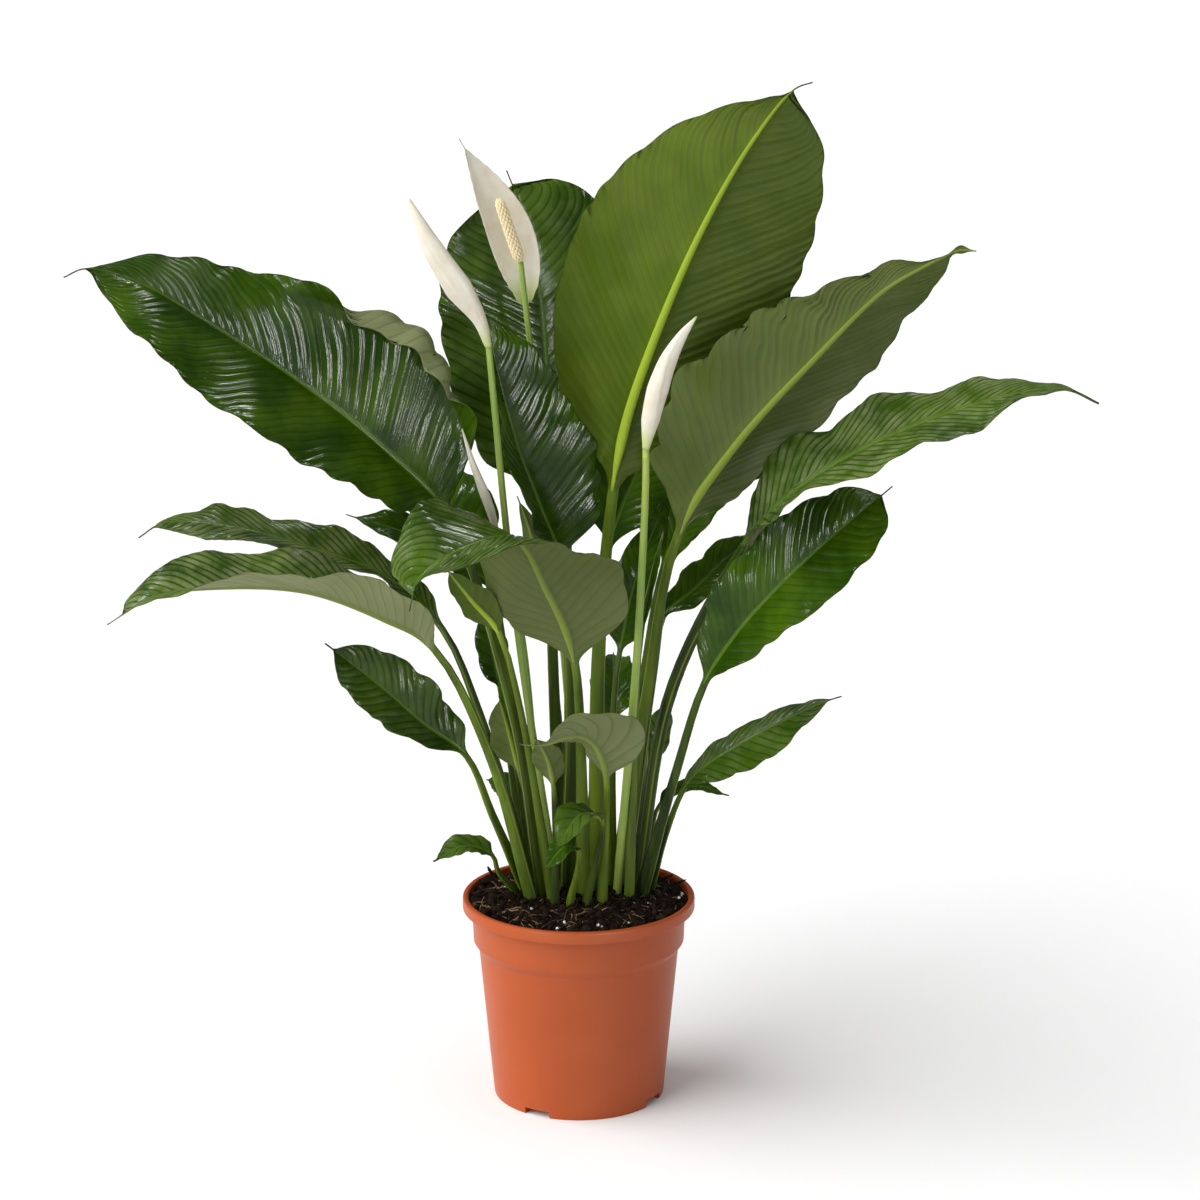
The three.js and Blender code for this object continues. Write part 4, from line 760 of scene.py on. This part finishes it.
class Blade:
    """The form of one blade: its midrib, its outline and its relief."""

    samples = 160

    def __init__(self, name, leaf, curve, start, foot_half, columns):
        self.leaf = leaf
        self.columns = columns
        self.foot_half = foot_half
        found, self.length = walk(curve, start, 1, self.samples)
        self.places = []
        for i, (point, tangent) in enumerate(found):
            facing = facing_at(leaf["faces"], i / self.samples, tangent)
            self.places.append((point, facing, tangent.cross(facing)))
        self.veins = max(6, round(self.length / VEIN_SPACING))
        broad = 1 + 1.8 * sum(leaf["halves"]) / self.length
        self.sweep = min(max(broad, VEIN_SWEEPS[0]), VEIN_SWEEPS[1])
        draws = random.Random(name)
        self.swells = [draws.uniform(0.35, 1.35) for _ in range(2 * self.veins + 4)]
        self.steps = [draws.uniform(-VEIN_STEP, VEIN_STEP) for _ in range(2 * self.veins + 5)]
        self.phases = [draws.uniform(0, FULL_TURN) for _ in range(6)]
        self.seed = Vector((draws.uniform(0, 50), draws.uniform(0, 50), draws.uniform(0, 50)))

    def along(self, vein, s):
        """How far along the midrib the point s across lies, on the side vein that leaves it at vein."""
        at_rib = vein ** VEIN_CROWDING
        at_margin = 1 - (1 - vein) ** self.sweep
        near_rib = 1.06 * s / (s + 0.06)
        return at_rib + (at_margin - at_rib) * (0.7 * s + 0.2 * s * s + 0.1 * near_rib)

    def half(self, side, t):
        """Width at t of the left half (side 0) or the right one (side 1), with the bulges of its margin."""
        outline = self.leaf.get("outline", OUTLINE)
        if side:
            outline = self.leaf.get("right_outline", outline)
        wide = self.leaf["halves"][side] * outline_at(outline, t)
        deep = self.leaf.get("scallops", (1.3, 1.3))[side] * min(1, wide / WAVE_FULL_AT)
        bulges = self.length / SCALLOP_LENGTH
        unevenly = t + 0.02 * math.sin(FULL_TURN * 2.3 * t + self.phases[4])
        wide += deep * (2 * abs(math.sin(math.pi * bulges * unevenly + self.phases[side])) - 1.3)
        wide = max(wide, self.foot_half * (1 - t), TIP_HALF_WIDTH)
        return wide + self.leaf.get("end_lobe", 0) * math.exp(-((t - END_LOBE_AT) / END_LOBE_SPREAD) ** 2)

    def ripple(self, vein, side):
        """Height of the blade between its side veins, which lie a little up or down and bulge between."""
        place = vein * self.veins + 0.5 * side
        band = int(place) + side * (self.veins + 2)
        part = place % 1
        level = self.steps[band] * (1 - part) + self.steps[band + 1] * part
        return level + RIPPLE_HEIGHT * self.swells[band] * 4 * part * (1 - part)

    def lift(self, vein, side, t, s, half, rib):
        """Height of the relief: waves and ruffles towards the margin, ripples between the side veins."""
        height, waves = self.leaf["wave"]
        full = min(1, half / WAVE_FULL_AT)
        swing = math.sin(FULL_TURN * waves * t + WAVE_PHASES[side]) * full
        ruffle = RUFFLE_HEIGHT * math.sin(FULL_TURN * (2.6 * waves + 1) * t + self.phases[2 + side])
        waved = (height * swing + ruffle * s * s * full) * s * s
        beyond_rib = smooth(s * half, rib, rib + 5)
        fading = 1 - smooth(t, 0.82, 0.98)
        return waved + self.ripple(vein, side) * beyond_rib * (1 - 0.5 * s ** 4) * fading

    def skin(self, upper, t, s, half, rib):
        """Height of the upper or lower side over the blade's middle, with a dip or a keel at the midrib."""
        inward = min(1.0, (1 - s) * half / EDGE_WIDTH)
        thick = 0.5 * BLADE_THICKNESS * math.sqrt(inward) * (1 - 0.4 * s) * (1 - 0.4 * t)
        if upper:
            dip = 0.5 * max(0.0, 1 - s * half / (1.2 * rib))
            return thick - dip * min(1.0, rib / 2)
        keel = KEEL_DEPTH * rib * math.sqrt(max(0.0, 1 - (s * half / (1.05 * rib)) ** 2))
        return -(thick + keel)

    def point(self, vein, column, upper):
        """A vertex: column runs from -columns at the left margin to columns at the right one."""
        side, sign = (1, 1) if column > 0 else (0, -1)
        s = abs(column) / self.columns
        t = self.along(vein, s)
        half = self.half(side, t)
        rib = self.foot_half * 0.85 * (1 - t) ** RIB_TAPER + 0.4
        s = across(abs(column), self.columns, half, rib) / half
        fold = math.radians(between(self.leaf["fold"], t))
        out, over, turned = rolled_margin(self.leaf.get("rolled"), t, half, sign * s)
        i = min(int(t * self.samples), self.samples - 1)
        w = t * self.samples - i
        point, facing, right = (a.lerp(b, w) for a, b in zip(self.places[i], self.places[i + 1]))
        lift = self.lift(vein, side, t, s, half, rib)
        spot = point + right * (sign * out * math.cos(fold) - sign * over * math.sin(fold))
        spot += facing * (out * math.sin(fold) + over * math.cos(fold) + lift)
        tilt = fold + turned
        normal = facing * math.cos(tilt) - right * (sign * math.sin(tilt))
        spot += normal * self.skin(upper, t, s, half, rib)
        uneven = noise.noise(point * 0.02 + right * (sign * out * 0.03) + self.seed)
        return spot + facing * (uneven * UNEVENNESS * s), t


def stalk_point(angle, radius, along):
    """Across and up: a stalk's section, channelled above, and widened to a sheath near the foot."""
    sheath = 1 - smooth(along, 0.05, 0.5)
    rise = math.sin(angle)
    channel = 0.32 + 0.25 * sheath
    if rise > 0:
        rise *= 1 - channel * rise ** 3
    return radius * (1 + 0.3 * sheath) * math.cos(angle), radius * rise


def stalk_rings(foot, stalk, facing):
    """Rings of a leaf's stalk, from its buried foot up to the neck."""
    rings = rings_down(stalk, facing)
    x, y = foot
    facing = squared_to(rings[-1][1], UP)
    rings.append((Vector((x, y, BURIED_END)), facing, UP.cross(facing)))
    return rings[::-1]


def even_mark(value):
    """A mark that is the same all over a piece."""
    return lambda row, column: value


def leaf_piece(name, leaf, finish):
    stalk_rows, vein_rows, columns = DETAIL[leaf["size"]]
    curve = spline([collar_point(leaf["foot"]), *leaf["stalk"], *leaf["rib"]])
    neck = (1 + len(leaf["stalk"])) / (len(leaf["stalk"]) + len(leaf["rib"]))
    neck_radius = leaf["stalk_radius"][1]
    blade = Blade(name, leaf, curve, neck, neck_radius, columns)
    blade_rows = blade.veins * vein_rows
    around = 4 * columns
    rings = stalk_rings(leaf["foot"], walk(curve, 0, neck, stalk_rows)[0], blade.places[0][1])
    first_blade_row = len(rings) - 1

    def place(row, column):
        angle = ring_angle(column, around)
        if row <= first_blade_row:
            along = max(0, row - 1) / (first_blade_row - 1)
            radius = between(leaf["stalk_radius"], along)
            return ring_point(rings[row], *stalk_point(angle, radius, along))
        where, upper = blade_column(column, columns)
        spot, t = blade.point((row - first_blade_row) / blade_rows, where, upper)
        flat = smooth(t, 0, NECK_PART)
        if flat >= 1:
            return spot
        i = min(int(t * blade.samples), blade.samples - 1)
        return ring_point(blade.places[i], *stalk_point(angle, neck_radius, 1)).lerp(spot, flat)

    def map_point(row, column):
        if row <= first_blade_row:
            return column / around, (row - first_blade_row) * 0.1
        where, _ = blade_column(column, columns)
        vein = (row - first_blade_row) / blade_rows * blade.veins
        return column / around, vein + (0.5 if where > 0 else 0)

    def rib_mark(row, column):
        if row <= first_blade_row:
            return 1.0
        where, upper = blade_column(column, columns)
        return 1 - 0.6 * (row - first_blade_row) / blade_rows if abs(where) <= (1 if upper else 2) else 0.0

    def stalk_mark(row, column):
        return 1 - smooth(row - first_blade_row, -2, 0.04 * blade_rows)

    def tip_mark(row, column):
        if "end_lobe" in leaf:
            return 0.0
        return smooth((row - first_blade_row) / blade_rows, 1 - 0.8 * DRIP_TIP, 1 - 0.2 * DRIP_TIP)

    marks = [
        ("rib", rib_mark), ("stalk", stalk_mark), ("tip", tip_mark),
        # The underside's tone, partly a painted glow of light through the leaf.
        ("tone", even_mark(TONES.get(name, PLAIN_TONE))),
        # How light the stalk is; its dark end is partly painted shade.
        ("light_stalk", even_mark(STALK_TONES.get(name, random.Random(name).uniform(0.1, 0.7)))),
        # Painted sheen on the upper side.
        ("painted_sheen_upper", even_mark(PAINTED_SHEEN_UPPER.get(name, 0))),
        # Painted light on the underside.
        ("painted_light_under", even_mark(PAINTED_LIGHT_UNDER.get(name, 0))),
    ]
    mesh = tube(first_blade_row + blade_rows, around, place, map_point, marks)
    return finish_piece(mesh, f"{name}_leaf", finish, "leaf", f"leaf_{name}")


# ---------------------------------------------------------------- flowers
def even_map(rows, around):
    """The map of a plain tube."""
    return lambda row, column: (column / around, row / rows)


def stem_piece(name, stem, finish):
    rows, around = 48, 16
    collar = collar_point(stem["foot"])
    found, _ = walk(spline([collar, *stem["points"]]), 0, 1, rows - 1)
    rings = rings_down(found, squared_to(FRONT, found[-1][1]))
    rings.append((Vector((collar.x, collar.y, BURIED_END)), FRONT, Vector((1, 0, 0))))
    rings.reverse()

    def place(row, column):
        point, facing, right = rings[row]
        radius = between(stem["radius"], max(0, row - 1) / (rows - 1))
        angle = ring_angle(column, around)
        ridge = 1 + 0.04 * math.cos(5 * angle)
        return point + (right * math.cos(angle) + facing * math.sin(angle)) * radius * ridge

    mesh = tube(rows, around, place, even_map(rows, around))
    return finish_piece(mesh, f"{name}_stem", finish, "flower_stem", f"flower_stem_{name}")


def stem_end(stem):
    """Where the stem ends, and the way it points."""
    found, _ = walk(spline([collar_point(stem["foot"]), *stem["points"]]), 0, 1, 1)
    return found[-1]


def closed_spathe_piece(name, form, finish):
    """A spathe wound round itself, one edge over the other."""
    rows, around = 56, 40
    start, stem_tangent = stem_end(STEMS[name])
    curve = spline([start, *form["line"]])
    front = Vector(form["faces"]).normalized()

    def place(row, column):
        t = row / rows
        spot = t * len(form["line"])
        i = min(int(spot), len(form["line"]) - 1)
        wide, deep = (between(form[key][i:i + 2], spot - i) for key in ("wide", "deep"))
        tangent = stem_tangent if row == 0 else direction(curve, t)
        facing = squared_to(front, tangent)
        angle = ring_angle(column, around)
        seam = (angle - math.pi / 2 - 1.4 * (t - 0.5)) % FULL_TURN
        overlap = 0.2 * max(0.0, 1 - seam / 1.2) ** 2 * math.sin(math.pi * t)
        side = tangent.cross(facing)
        return curve(t) + (side * wide * math.cos(angle) + facing * deep * math.sin(angle)) * (1 + overlap)

    mesh = tube(rows, around, place, even_map(rows, around))
    return finish_piece(mesh, f"{name}_spathe", finish, "spathe", f"spathe_{name}")


def open_spathe_piece(form, finish):
    """A cupped blade without a midrib."""
    columns, rows, samples = 12, 64, 96
    around = 4 * columns
    found, _ = walk(spline(form["rib"]), 0, 1, samples)
    height, waves = form["wave"]

    def place(row, column):
        t = row / rows
        where, upper = blade_column(column, columns)
        side = 1 if where > 0 else 0
        s = where / columns
        half = max(form["halves"][side] * outline_at(form["outline"], t), 2.2 * (1 - t), 0.4)
        fold = math.radians(between(form["fold"], t))
        point, tangent = found[round(t * samples)]
        facing = facing_at(form["faces"], t, tangent)
        right = tangent.cross(facing)
        out = half * s
        cup = abs(out) * math.sin(fold) * abs(s)
        lift = height * s * s * math.sin(FULL_TURN * waves * t + WAVE_PHASES[side])
        thick = 0.45 * math.sqrt(max(0.0, 1 - s ** 4)) * (1 if upper else -1)
        return point + right * (out * math.cos(fold * abs(s))) + facing * (cup + lift + thick)

    mesh = tube(rows, around, place, even_map(rows, around))
    return finish_piece(mesh, "open_spathe", finish, "spathe", "spathe_open")


def spadix_piece(finish):
    """A blunt spike covered in knobs that wind round it both ways."""
    rows, around = 150, 96
    start, _ = stem_end(STEMS["open"])
    axis = (Vector(SPADIX["top"]) - start).normalized()
    length = (Vector(SPADIX["top"]) - start).length
    facing = squared_to(FRONT, axis)
    right = axis.cross(facing)

    def knob(row, column):
        winding = SPADIX["around"] * (FULL_TURN * column / around) / 2
        climb = SPADIX["turns"] * math.pi * (row / rows)
        return abs(math.cos(winding + climb) * math.cos(winding - climb)) ** 0.5

    def place(row, column):
        t = row / rows
        angle = ring_angle(column, around)
        blunt = math.sqrt(max(0.04, 1 - (2 * t - 1) ** 8)) * (1 - 0.12 * t)
        radius = SPADIX["radius"] * blunt + SPADIX["bump"] * (2 * knob(row, column) - 1)
        return start + axis * (t * length) + (right * math.cos(angle) + facing * math.sin(angle)) * radius

    mesh = tube(rows, around, place, even_map(rows, around), [("knob", knob)])
    return finish_piece(mesh, "flower_spadix", finish, "spadix", "spadix")


# ---------------------------------------------------------------- pot
def spun(profile, steps):
    """A solid turned about +Z from [radius, height] pairs in millimetres."""
    mesh = bmesh.new()
    verts = [mesh.verts.new((r * MM, 0, z * MM)) for r, z in profile]
    edges = [mesh.edges.new(pair) for pair in zip(verts, verts[1:])]
    settings = dict(cent=(0, 0, 0), axis=(0, 0, 1), angle=FULL_TURN, steps=steps)
    bmesh.ops.spin(mesh, geom=verts + edges, use_merge=True, use_duplicate=False, **settings)
    bmesh.ops.remove_doubles(mesh, verts=mesh.verts, dist=1e-6)
    bmesh.ops.recalc_face_normals(mesh, faces=mesh.faces)
    return mesh


def rounded(profile, radii, segments=4):
    """The profile with each inner corner replaced by a short arc of its own radius."""
    made = [profile[0]]
    for before, corner, after, radius in zip(profile, profile[1:], profile[2:], radii):
        a, b, c = Vector(before), Vector(corner), Vector(after)
        cut = min(radius, 0.45 * (b - a).length, 0.45 * (c - b).length)
        first = b + (a - b).normalized() * cut
        last = b + (c - b).normalized() * cut
        for i in range(segments + 1):
            w = i / segments
            made.append(first * (1 - w) ** 2 + b * 2 * w * (1 - w) + last * w ** 2)
    made.append(profile[-1])
    return made


def pot_profile():
    """Half of the pot's section, from the middle of its underside over the rim to the middle inside."""
    rim_low = POT_HEIGHT - RIM_DEPTH
    rim_inner = RIM_RADIUS - RIM_WIDTH
    return [
        (0, 0), (RECESS_INNER, 0), (RECESS_INNER + WALL, RECESS_HEIGHT),
        (RECESS_OUTER - WALL, RECESS_HEIGHT), (RECESS_OUTER, 0), (BASE_RADIUS, 0),
        (STEP_RADIUS, STEP_LOW), (COLLAR_LOW_RADIUS, STEP_TOP),
        (COLLAR_TOP_RADIUS, rim_low), (RIM_RADIUS, rim_low), (RIM_RADIUS, POT_HEIGHT),
        (rim_inner, POT_HEIGHT), (rim_inner, rim_low + 2), (COLLAR_TOP_RADIUS - WALL, rim_low - 2),
        (COLLAR_LOW_RADIUS - WALL, STEP_TOP), (STEP_RADIUS - WALL, STEP_LOW),
        (BASE_RADIUS - WALL, FLOOR_TOP), (0, FLOOR_TOP),
    ]


def notches_and_drains():
    """The blocks and rods that are cut out of the foot ring and the recess."""
    cuts = bmesh.new()

    def set_out(verts, radius, angle):
        bmesh.ops.translate(cuts, vec=Vector((radius, 0, 0)) * MM, verts=verts)
        bmesh.ops.rotate(cuts, verts=verts, cent=(0, 0, 0), matrix=Matrix.Rotation(angle, 3, "Z"))

    for i in range(NOTCH_COUNT):
        box = bmesh.ops.create_cube(cuts, size=MM)["verts"]
        bmesh.ops.scale(cuts, vec=(NOTCH_REACH, NOTCH_WIDTH, 2 * NOTCH_HEIGHT), verts=box)
        set_out(box, BASE_RADIUS, math.radians(NOTCH_FIRST_ANGLE + i * 360 / NOTCH_COUNT))
    for i in range(DRAIN_COUNT):
        sizes = dict(radius1=DRAIN_RADIUS * MM, radius2=DRAIN_RADIUS * MM, depth=4 * FLOOR_TOP * MM)
        drain = bmesh.ops.create_cone(cuts, cap_ends=True, segments=24, **sizes)["verts"]
        set_out(drain, (RECESS_INNER + RECESS_OUTER) / 2, FULL_TURN * i / DRAIN_COUNT)
    return placed(cuts, "notches_and_drains")


def pot_piece(finish):
    profile = pot_profile()
    radii = [RIM_ROUNDING if z == POT_HEIGHT else EDGE_ROUNDING for r, z in profile[1:-1]]
    mesh = spun(rounded(profile, radii), POT_STEPS)
    above_notch = NOTCH_HEIGHT + 1.5
    for height in (above_notch, 2 * above_notch, STEP_LOW - above_notch):
        level = dict(plane_co=(0, 0, height * MM), plane_no=(0, 0, 1))
        bmesh.ops.bisect_plane(mesh, geom=[*mesh.verts, *mesh.edges, *mesh.faces], **level)
    for face in mesh.faces:
        face.smooth = True
    pot = finish_piece(mesh, "nursery_pot", finish, "pot", "pot")
    tools = notches_and_drains()
    cut = pot.modifiers.new("cuts", "BOOLEAN")
    cut.object = tools
    cut.operation = "DIFFERENCE"
    cut.solver = "EXACT"
    shaped = bpy.data.meshes.new_from_object(pot.evaluated_get(bpy.context.evaluated_depsgraph_get()))
    pot.modifiers.clear()
    pot.data = shaped
    shaped.set_sharp_from_angle(angle=math.radians(32))
    bpy.data.objects.remove(tools)
    return pot


# ---------------------------------------------------------------- soil
def peat_top(x, y):
    """Height of the peat in millimetres, with its lumps."""
    rough = noise.fractal(Vector((x, y, 0)) * 0.11, 0.9, 2.1, 5)
    return soil_height(x, y) + 2.2 * rough


def on_peat(x, y, above):
    """A place above the peat, in metres."""
    return Vector((x, y, peat_top(x, y) + above)) * MM


def peat_piece(finish):
    top = RIM_RADIUS - RIM_WIDTH - SOIL_GAP
    rings = 44
    profile = [(top * i / rings, SOIL_EDGE) for i in range(rings + 1)]
    inset = WALL + SOIL_GAP
    profile += [
        (top, POT_HEIGHT - RIM_DEPTH + 2.3), (COLLAR_TOP_RADIUS - inset, POT_HEIGHT - RIM_DEPTH - 1.7),
        (COLLAR_LOW_RADIUS - inset, STEP_TOP + SOIL_GAP), (STEP_RADIUS - inset, STEP_LOW + SOIL_GAP),
        (BASE_RADIUS - inset, FLOOR_TOP + SOIL_GAP), (0, FLOOR_TOP + SOIL_GAP),
    ]
    mesh = spun(profile, 160)
    for vertex in mesh.verts:
        if vertex.co.z > (SOIL_EDGE - 0.5) * MM:
            vertex.co.z = peat_top(vertex.co.x / MM, vertex.co.y / MM) * MM
    for face in mesh.faces:
        face.smooth = True
    return finish_piece(mesh, "peat", finish, "soil", "soil")


def scattered(draws, spread=RIM_RADIUS - RIM_WIDTH - 2.5):
    angle = draws.uniform(0, FULL_TURN)
    radius = spread * math.sqrt(draws.random())
    return radius * math.cos(angle), radius * math.sin(angle)


def lump(mesh, draws, place, size, shape, subdivisions=1):
    """An uneven ball of a size in millimetres, stretched and turned by the matrix shape."""
    put = Matrix.Translation(place) @ shape
    ball = bmesh.ops.create_icosphere(mesh, subdivisions=subdivisions, radius=size * MM, matrix=put)
    for vertex in ball["verts"]:
        vertex.co = place.lerp(vertex.co, 1 + draws.uniform(-LUMPINESS, LUMPINESS))


def stretched(draws, least, most):
    return Matrix.Diagonal([draws.uniform(least, most) for _ in range(3)]).to_4x4()


def crumbs_piece(name, finish, count, sizes, seed, stretch, subdivisions=1):
    """Loose lumps strewn on the peat."""
    draws = random.Random(seed)
    mesh = bmesh.new()
    for _ in range(count):
        x, y = scattered(draws)
        size = draws.uniform(*sizes)
        flat = stretched(draws, *stretch)
        tilt = Matrix.Rotation(draws.uniform(0, FULL_TURN), 4, draws.choice("XYZ"))
        place = on_peat(x, y, size * draws.uniform(0, 0.6))
        lump(mesh, draws, place, size, tilt @ flat, subdivisions)
    strewn_piece(mesh, name, finish)


def heaped_crumbs_piece(name, finish, feet, seed):
    """Lumps heaped round the foot of each stalk; a foot is its place and its radius."""
    draws = random.Random(seed)
    mesh = bmesh.new()
    for (foot_x, foot_y), radius in feet:
        for _ in range(HEAP_CRUMBS):
            angle = draws.uniform(0, FULL_TURN)
            away = radius * draws.uniform(1.0, 1.5)
            x, y = foot_x + away * math.cos(angle), foot_y + away * math.sin(angle)
            size = draws.uniform(1.0, 2.4)
            place = on_peat(x, y, size * draws.uniform(0.1, 0.9))
            lump(mesh, draws, place, size, stretched(draws, 0.6, 1.2))
    strewn_piece(mesh, name, finish)


def bark_bits_piece(name, finish, bits, seed):
    """Long dark bits that stick out of the peat, each from its low end to its high end."""
    draws = random.Random(seed)
    mesh = bmesh.new()
    for low, high, thickness in bits:
        low, high = Vector(low) * MM, Vector(high) * MM
        along = high - low
        shape = Matrix.Diagonal((thickness * MM, 0.6 * thickness * MM, along.length / 2, 1))
        turn = along.to_track_quat("Z", "Y").to_matrix().to_4x4()
        put = Matrix.Translation((low + high) / 2) @ turn @ shape
        ball = bmesh.ops.create_icosphere(mesh, subdivisions=2, radius=1, matrix=put)
        for vertex in ball["verts"]:
            stray = Vector([draws.uniform(-LUMPINESS, LUMPINESS) for _ in range(3)])
            vertex.co += stray * thickness * MM
    strewn_piece(mesh, name, finish)


def fibres_piece(name, finish, count, lengths, radii, seed):
    """Thin roots and peat fibres that lie on the soil, each a bent tube."""
    draws = random.Random(seed)
    mesh = bmesh.new()
    steps, sides = 6, 5
    for _ in range(count):
        x, y = scattered(draws)
        length = draws.uniform(*lengths)
        radius = draws.uniform(*radii)
        heading = draws.uniform(0, FULL_TURN)
        spots = []
        for _ in range(steps + 1):
            if math.hypot(x, y) > FIBRE_SPREAD:
                x, y = 0.97 * x, 0.97 * y
            spots.append(Vector((x, y, peat_top(x, y) + radius + draws.uniform(0, 0.9))))
            heading += draws.uniform(-0.5, 0.5)
            x += length / steps * math.cos(heading)
            y += length / steps * math.sin(heading)
        grid = bmesh.ops.create_grid(mesh, x_segments=sides, y_segments=steps, size=1)["verts"]
        for vertex in grid:
            row = round((vertex.co.y + 1) / 2 * steps)
            angle = FULL_TURN * (vertex.co.x + 1) / 2
            ahead = spots[min(row + 1, steps)] - spots[max(row - 1, 0)]
            side = ahead.cross(UP).normalized()
            lift = side.cross(ahead).normalized()
            thin = radius * (1 - 0.6 * row / steps)
            vertex.co = (spots[row] + (side * math.cos(angle) + lift * math.sin(angle)) * thin) * MM
    bmesh.ops.remove_doubles(mesh, verts=mesh.verts, dist=2e-6)
    bmesh.ops.holes_fill(mesh, edges=[edge for edge in mesh.edges if edge.is_boundary], sides=0)
    bmesh.ops.recalc_face_normals(mesh, faces=mesh.faces)
    strewn_piece(mesh, name, finish)


# ---------------------------------------------------------------- floor, light and camera
def stage_floor():
    mesh = bmesh.new()
    bmesh.ops.create_grid(mesh, x_segments=1, y_segments=1, size=20)
    floor = placed(mesh, "studio_floor", floor_material())


def softbox(name, place, aim, size, watts):
    """A light that only shows as gloss."""
    light = bpy.data.lights.new(name, "AREA")
    light.shape = "RECTANGLE"
    light.size, light.size_y = size
    light.energy = watts
    made = in_scene(name, light)
    made.location = place
    made.visible_diffuse = False
    made.visible_camera = False
    made.rotation_euler = (Vector(aim) - Vector(place)).to_track_quat("-Z", "Y").to_euler()


def soft_sun():
    """A broad sun from the left, which shows on matte surfaces only."""
    sun = bpy.data.lights.new("key", "SUN")
    sun.energy = SUN_STRENGTH
    sun.angle = math.radians(SUN_BREADTH)
    key = in_scene("key", sun)
    key.visible_glossy = False
    key.rotation_euler = Vector(SUN_SIDE).to_track_quat("Z", "Y").to_euler()


def backdrop():
    """White to the camera, dimmer as a light, and dimmer still in gloss."""
    world = bpy.data.worlds.new("studio")
    bpy.context.scene.world = world
    world.use_nodes = True
    tree = world.node_tree
    glow = tree.nodes["Background"]
    glow.inputs["Color"].default_value = (1, 1, 1, 1)
    rays = tree.nodes.new("ShaderNodeLightPath").outputs
    unseen = ranged(tree, rays["Is Glossy Ray"], BACKDROP_LIGHT, BACKDROP_GLOSS)
    tree.links.new(ranged(tree, rays["Is Camera Ray"], unseen, 1.0), glow.inputs["Strength"])


def studio():
    """A soft sun, boxes for the gloss, a white backdrop and a pale floor."""
    bpy.context.scene.view_settings.view_transform = "Standard"
    backdrop()
    soft_sun()
    for name, box in GLOSS_BOXES.items():
        softbox(name, *box)
    stage_floor()


def front_camera():
    """A long lens a little above the plant, as fits the pot's rim and foot."""
    data = bpy.data.cameras.new("camera")
    data.sensor_width = 36
    data.lens = CAMERA_LENS
    camera = in_scene("camera", data)
    camera.location = CAMERA_PLACE
    camera.rotation_euler = (math.radians(90 - CAMERA_TILT), 0, 0)
    bpy.context.scene.camera = camera


def plant():
    green = leaf_material()
    for name, leaf in LEAVES.items():
        leaf_piece(name, leaf, green)
    stem_green = stem_material()
    for name, stem in STEMS.items():
        stem_piece(name, stem, stem_green)
    white = spathe_material()
    for name, form in CLOSED_SPATHES.items():
        closed_spathe_piece(name, form, white)
    open_spathe_piece(OPEN_SPATHE, white)
    spadix_piece(spadix_material())


def pot_and_soil():
    pot_piece(pot_material())
    peat = peat_material()
    peat_piece(peat)
    crumbs_piece("peat_crumbs", peat, count=1500, sizes=(0.5, 2.2), seed=5, stretch=(0.5, 1.2))
    chunks = dict(count=260, sizes=(2, 4.5), seed=6, stretch=(0.45, 1.1), subdivisions=2)
    crumbs_piece("peat_chunks", peat, **chunks)
    feet = [(leaf["foot"], leaf["stalk_radius"][0]) for leaf in LEAVES.values()]
    feet += [(stem["foot"], stem["radius"][0]) for stem in STEMS.values()]
    heaped_crumbs_piece("heaped_crumbs", peat, feet, seed=3)
    bark_bits_piece("bark_bits", peat, BARK_BITS, seed=9)
    grains = dict(count=64, sizes=(0.6, 1.5), seed=8, stretch=(0.7, 1.1), subdivisions=2)
    crumbs_piece("perlite_grains", mineral_material(), **grains)
    fibres = dict(count=190, lengths=(6, 34), radii=(0.15, 0.5), seed=11)
    fibres_piece("peat_fibres", fibre_material(), **fibres)


front_camera()
studio()
plant()
pot_and_soil()
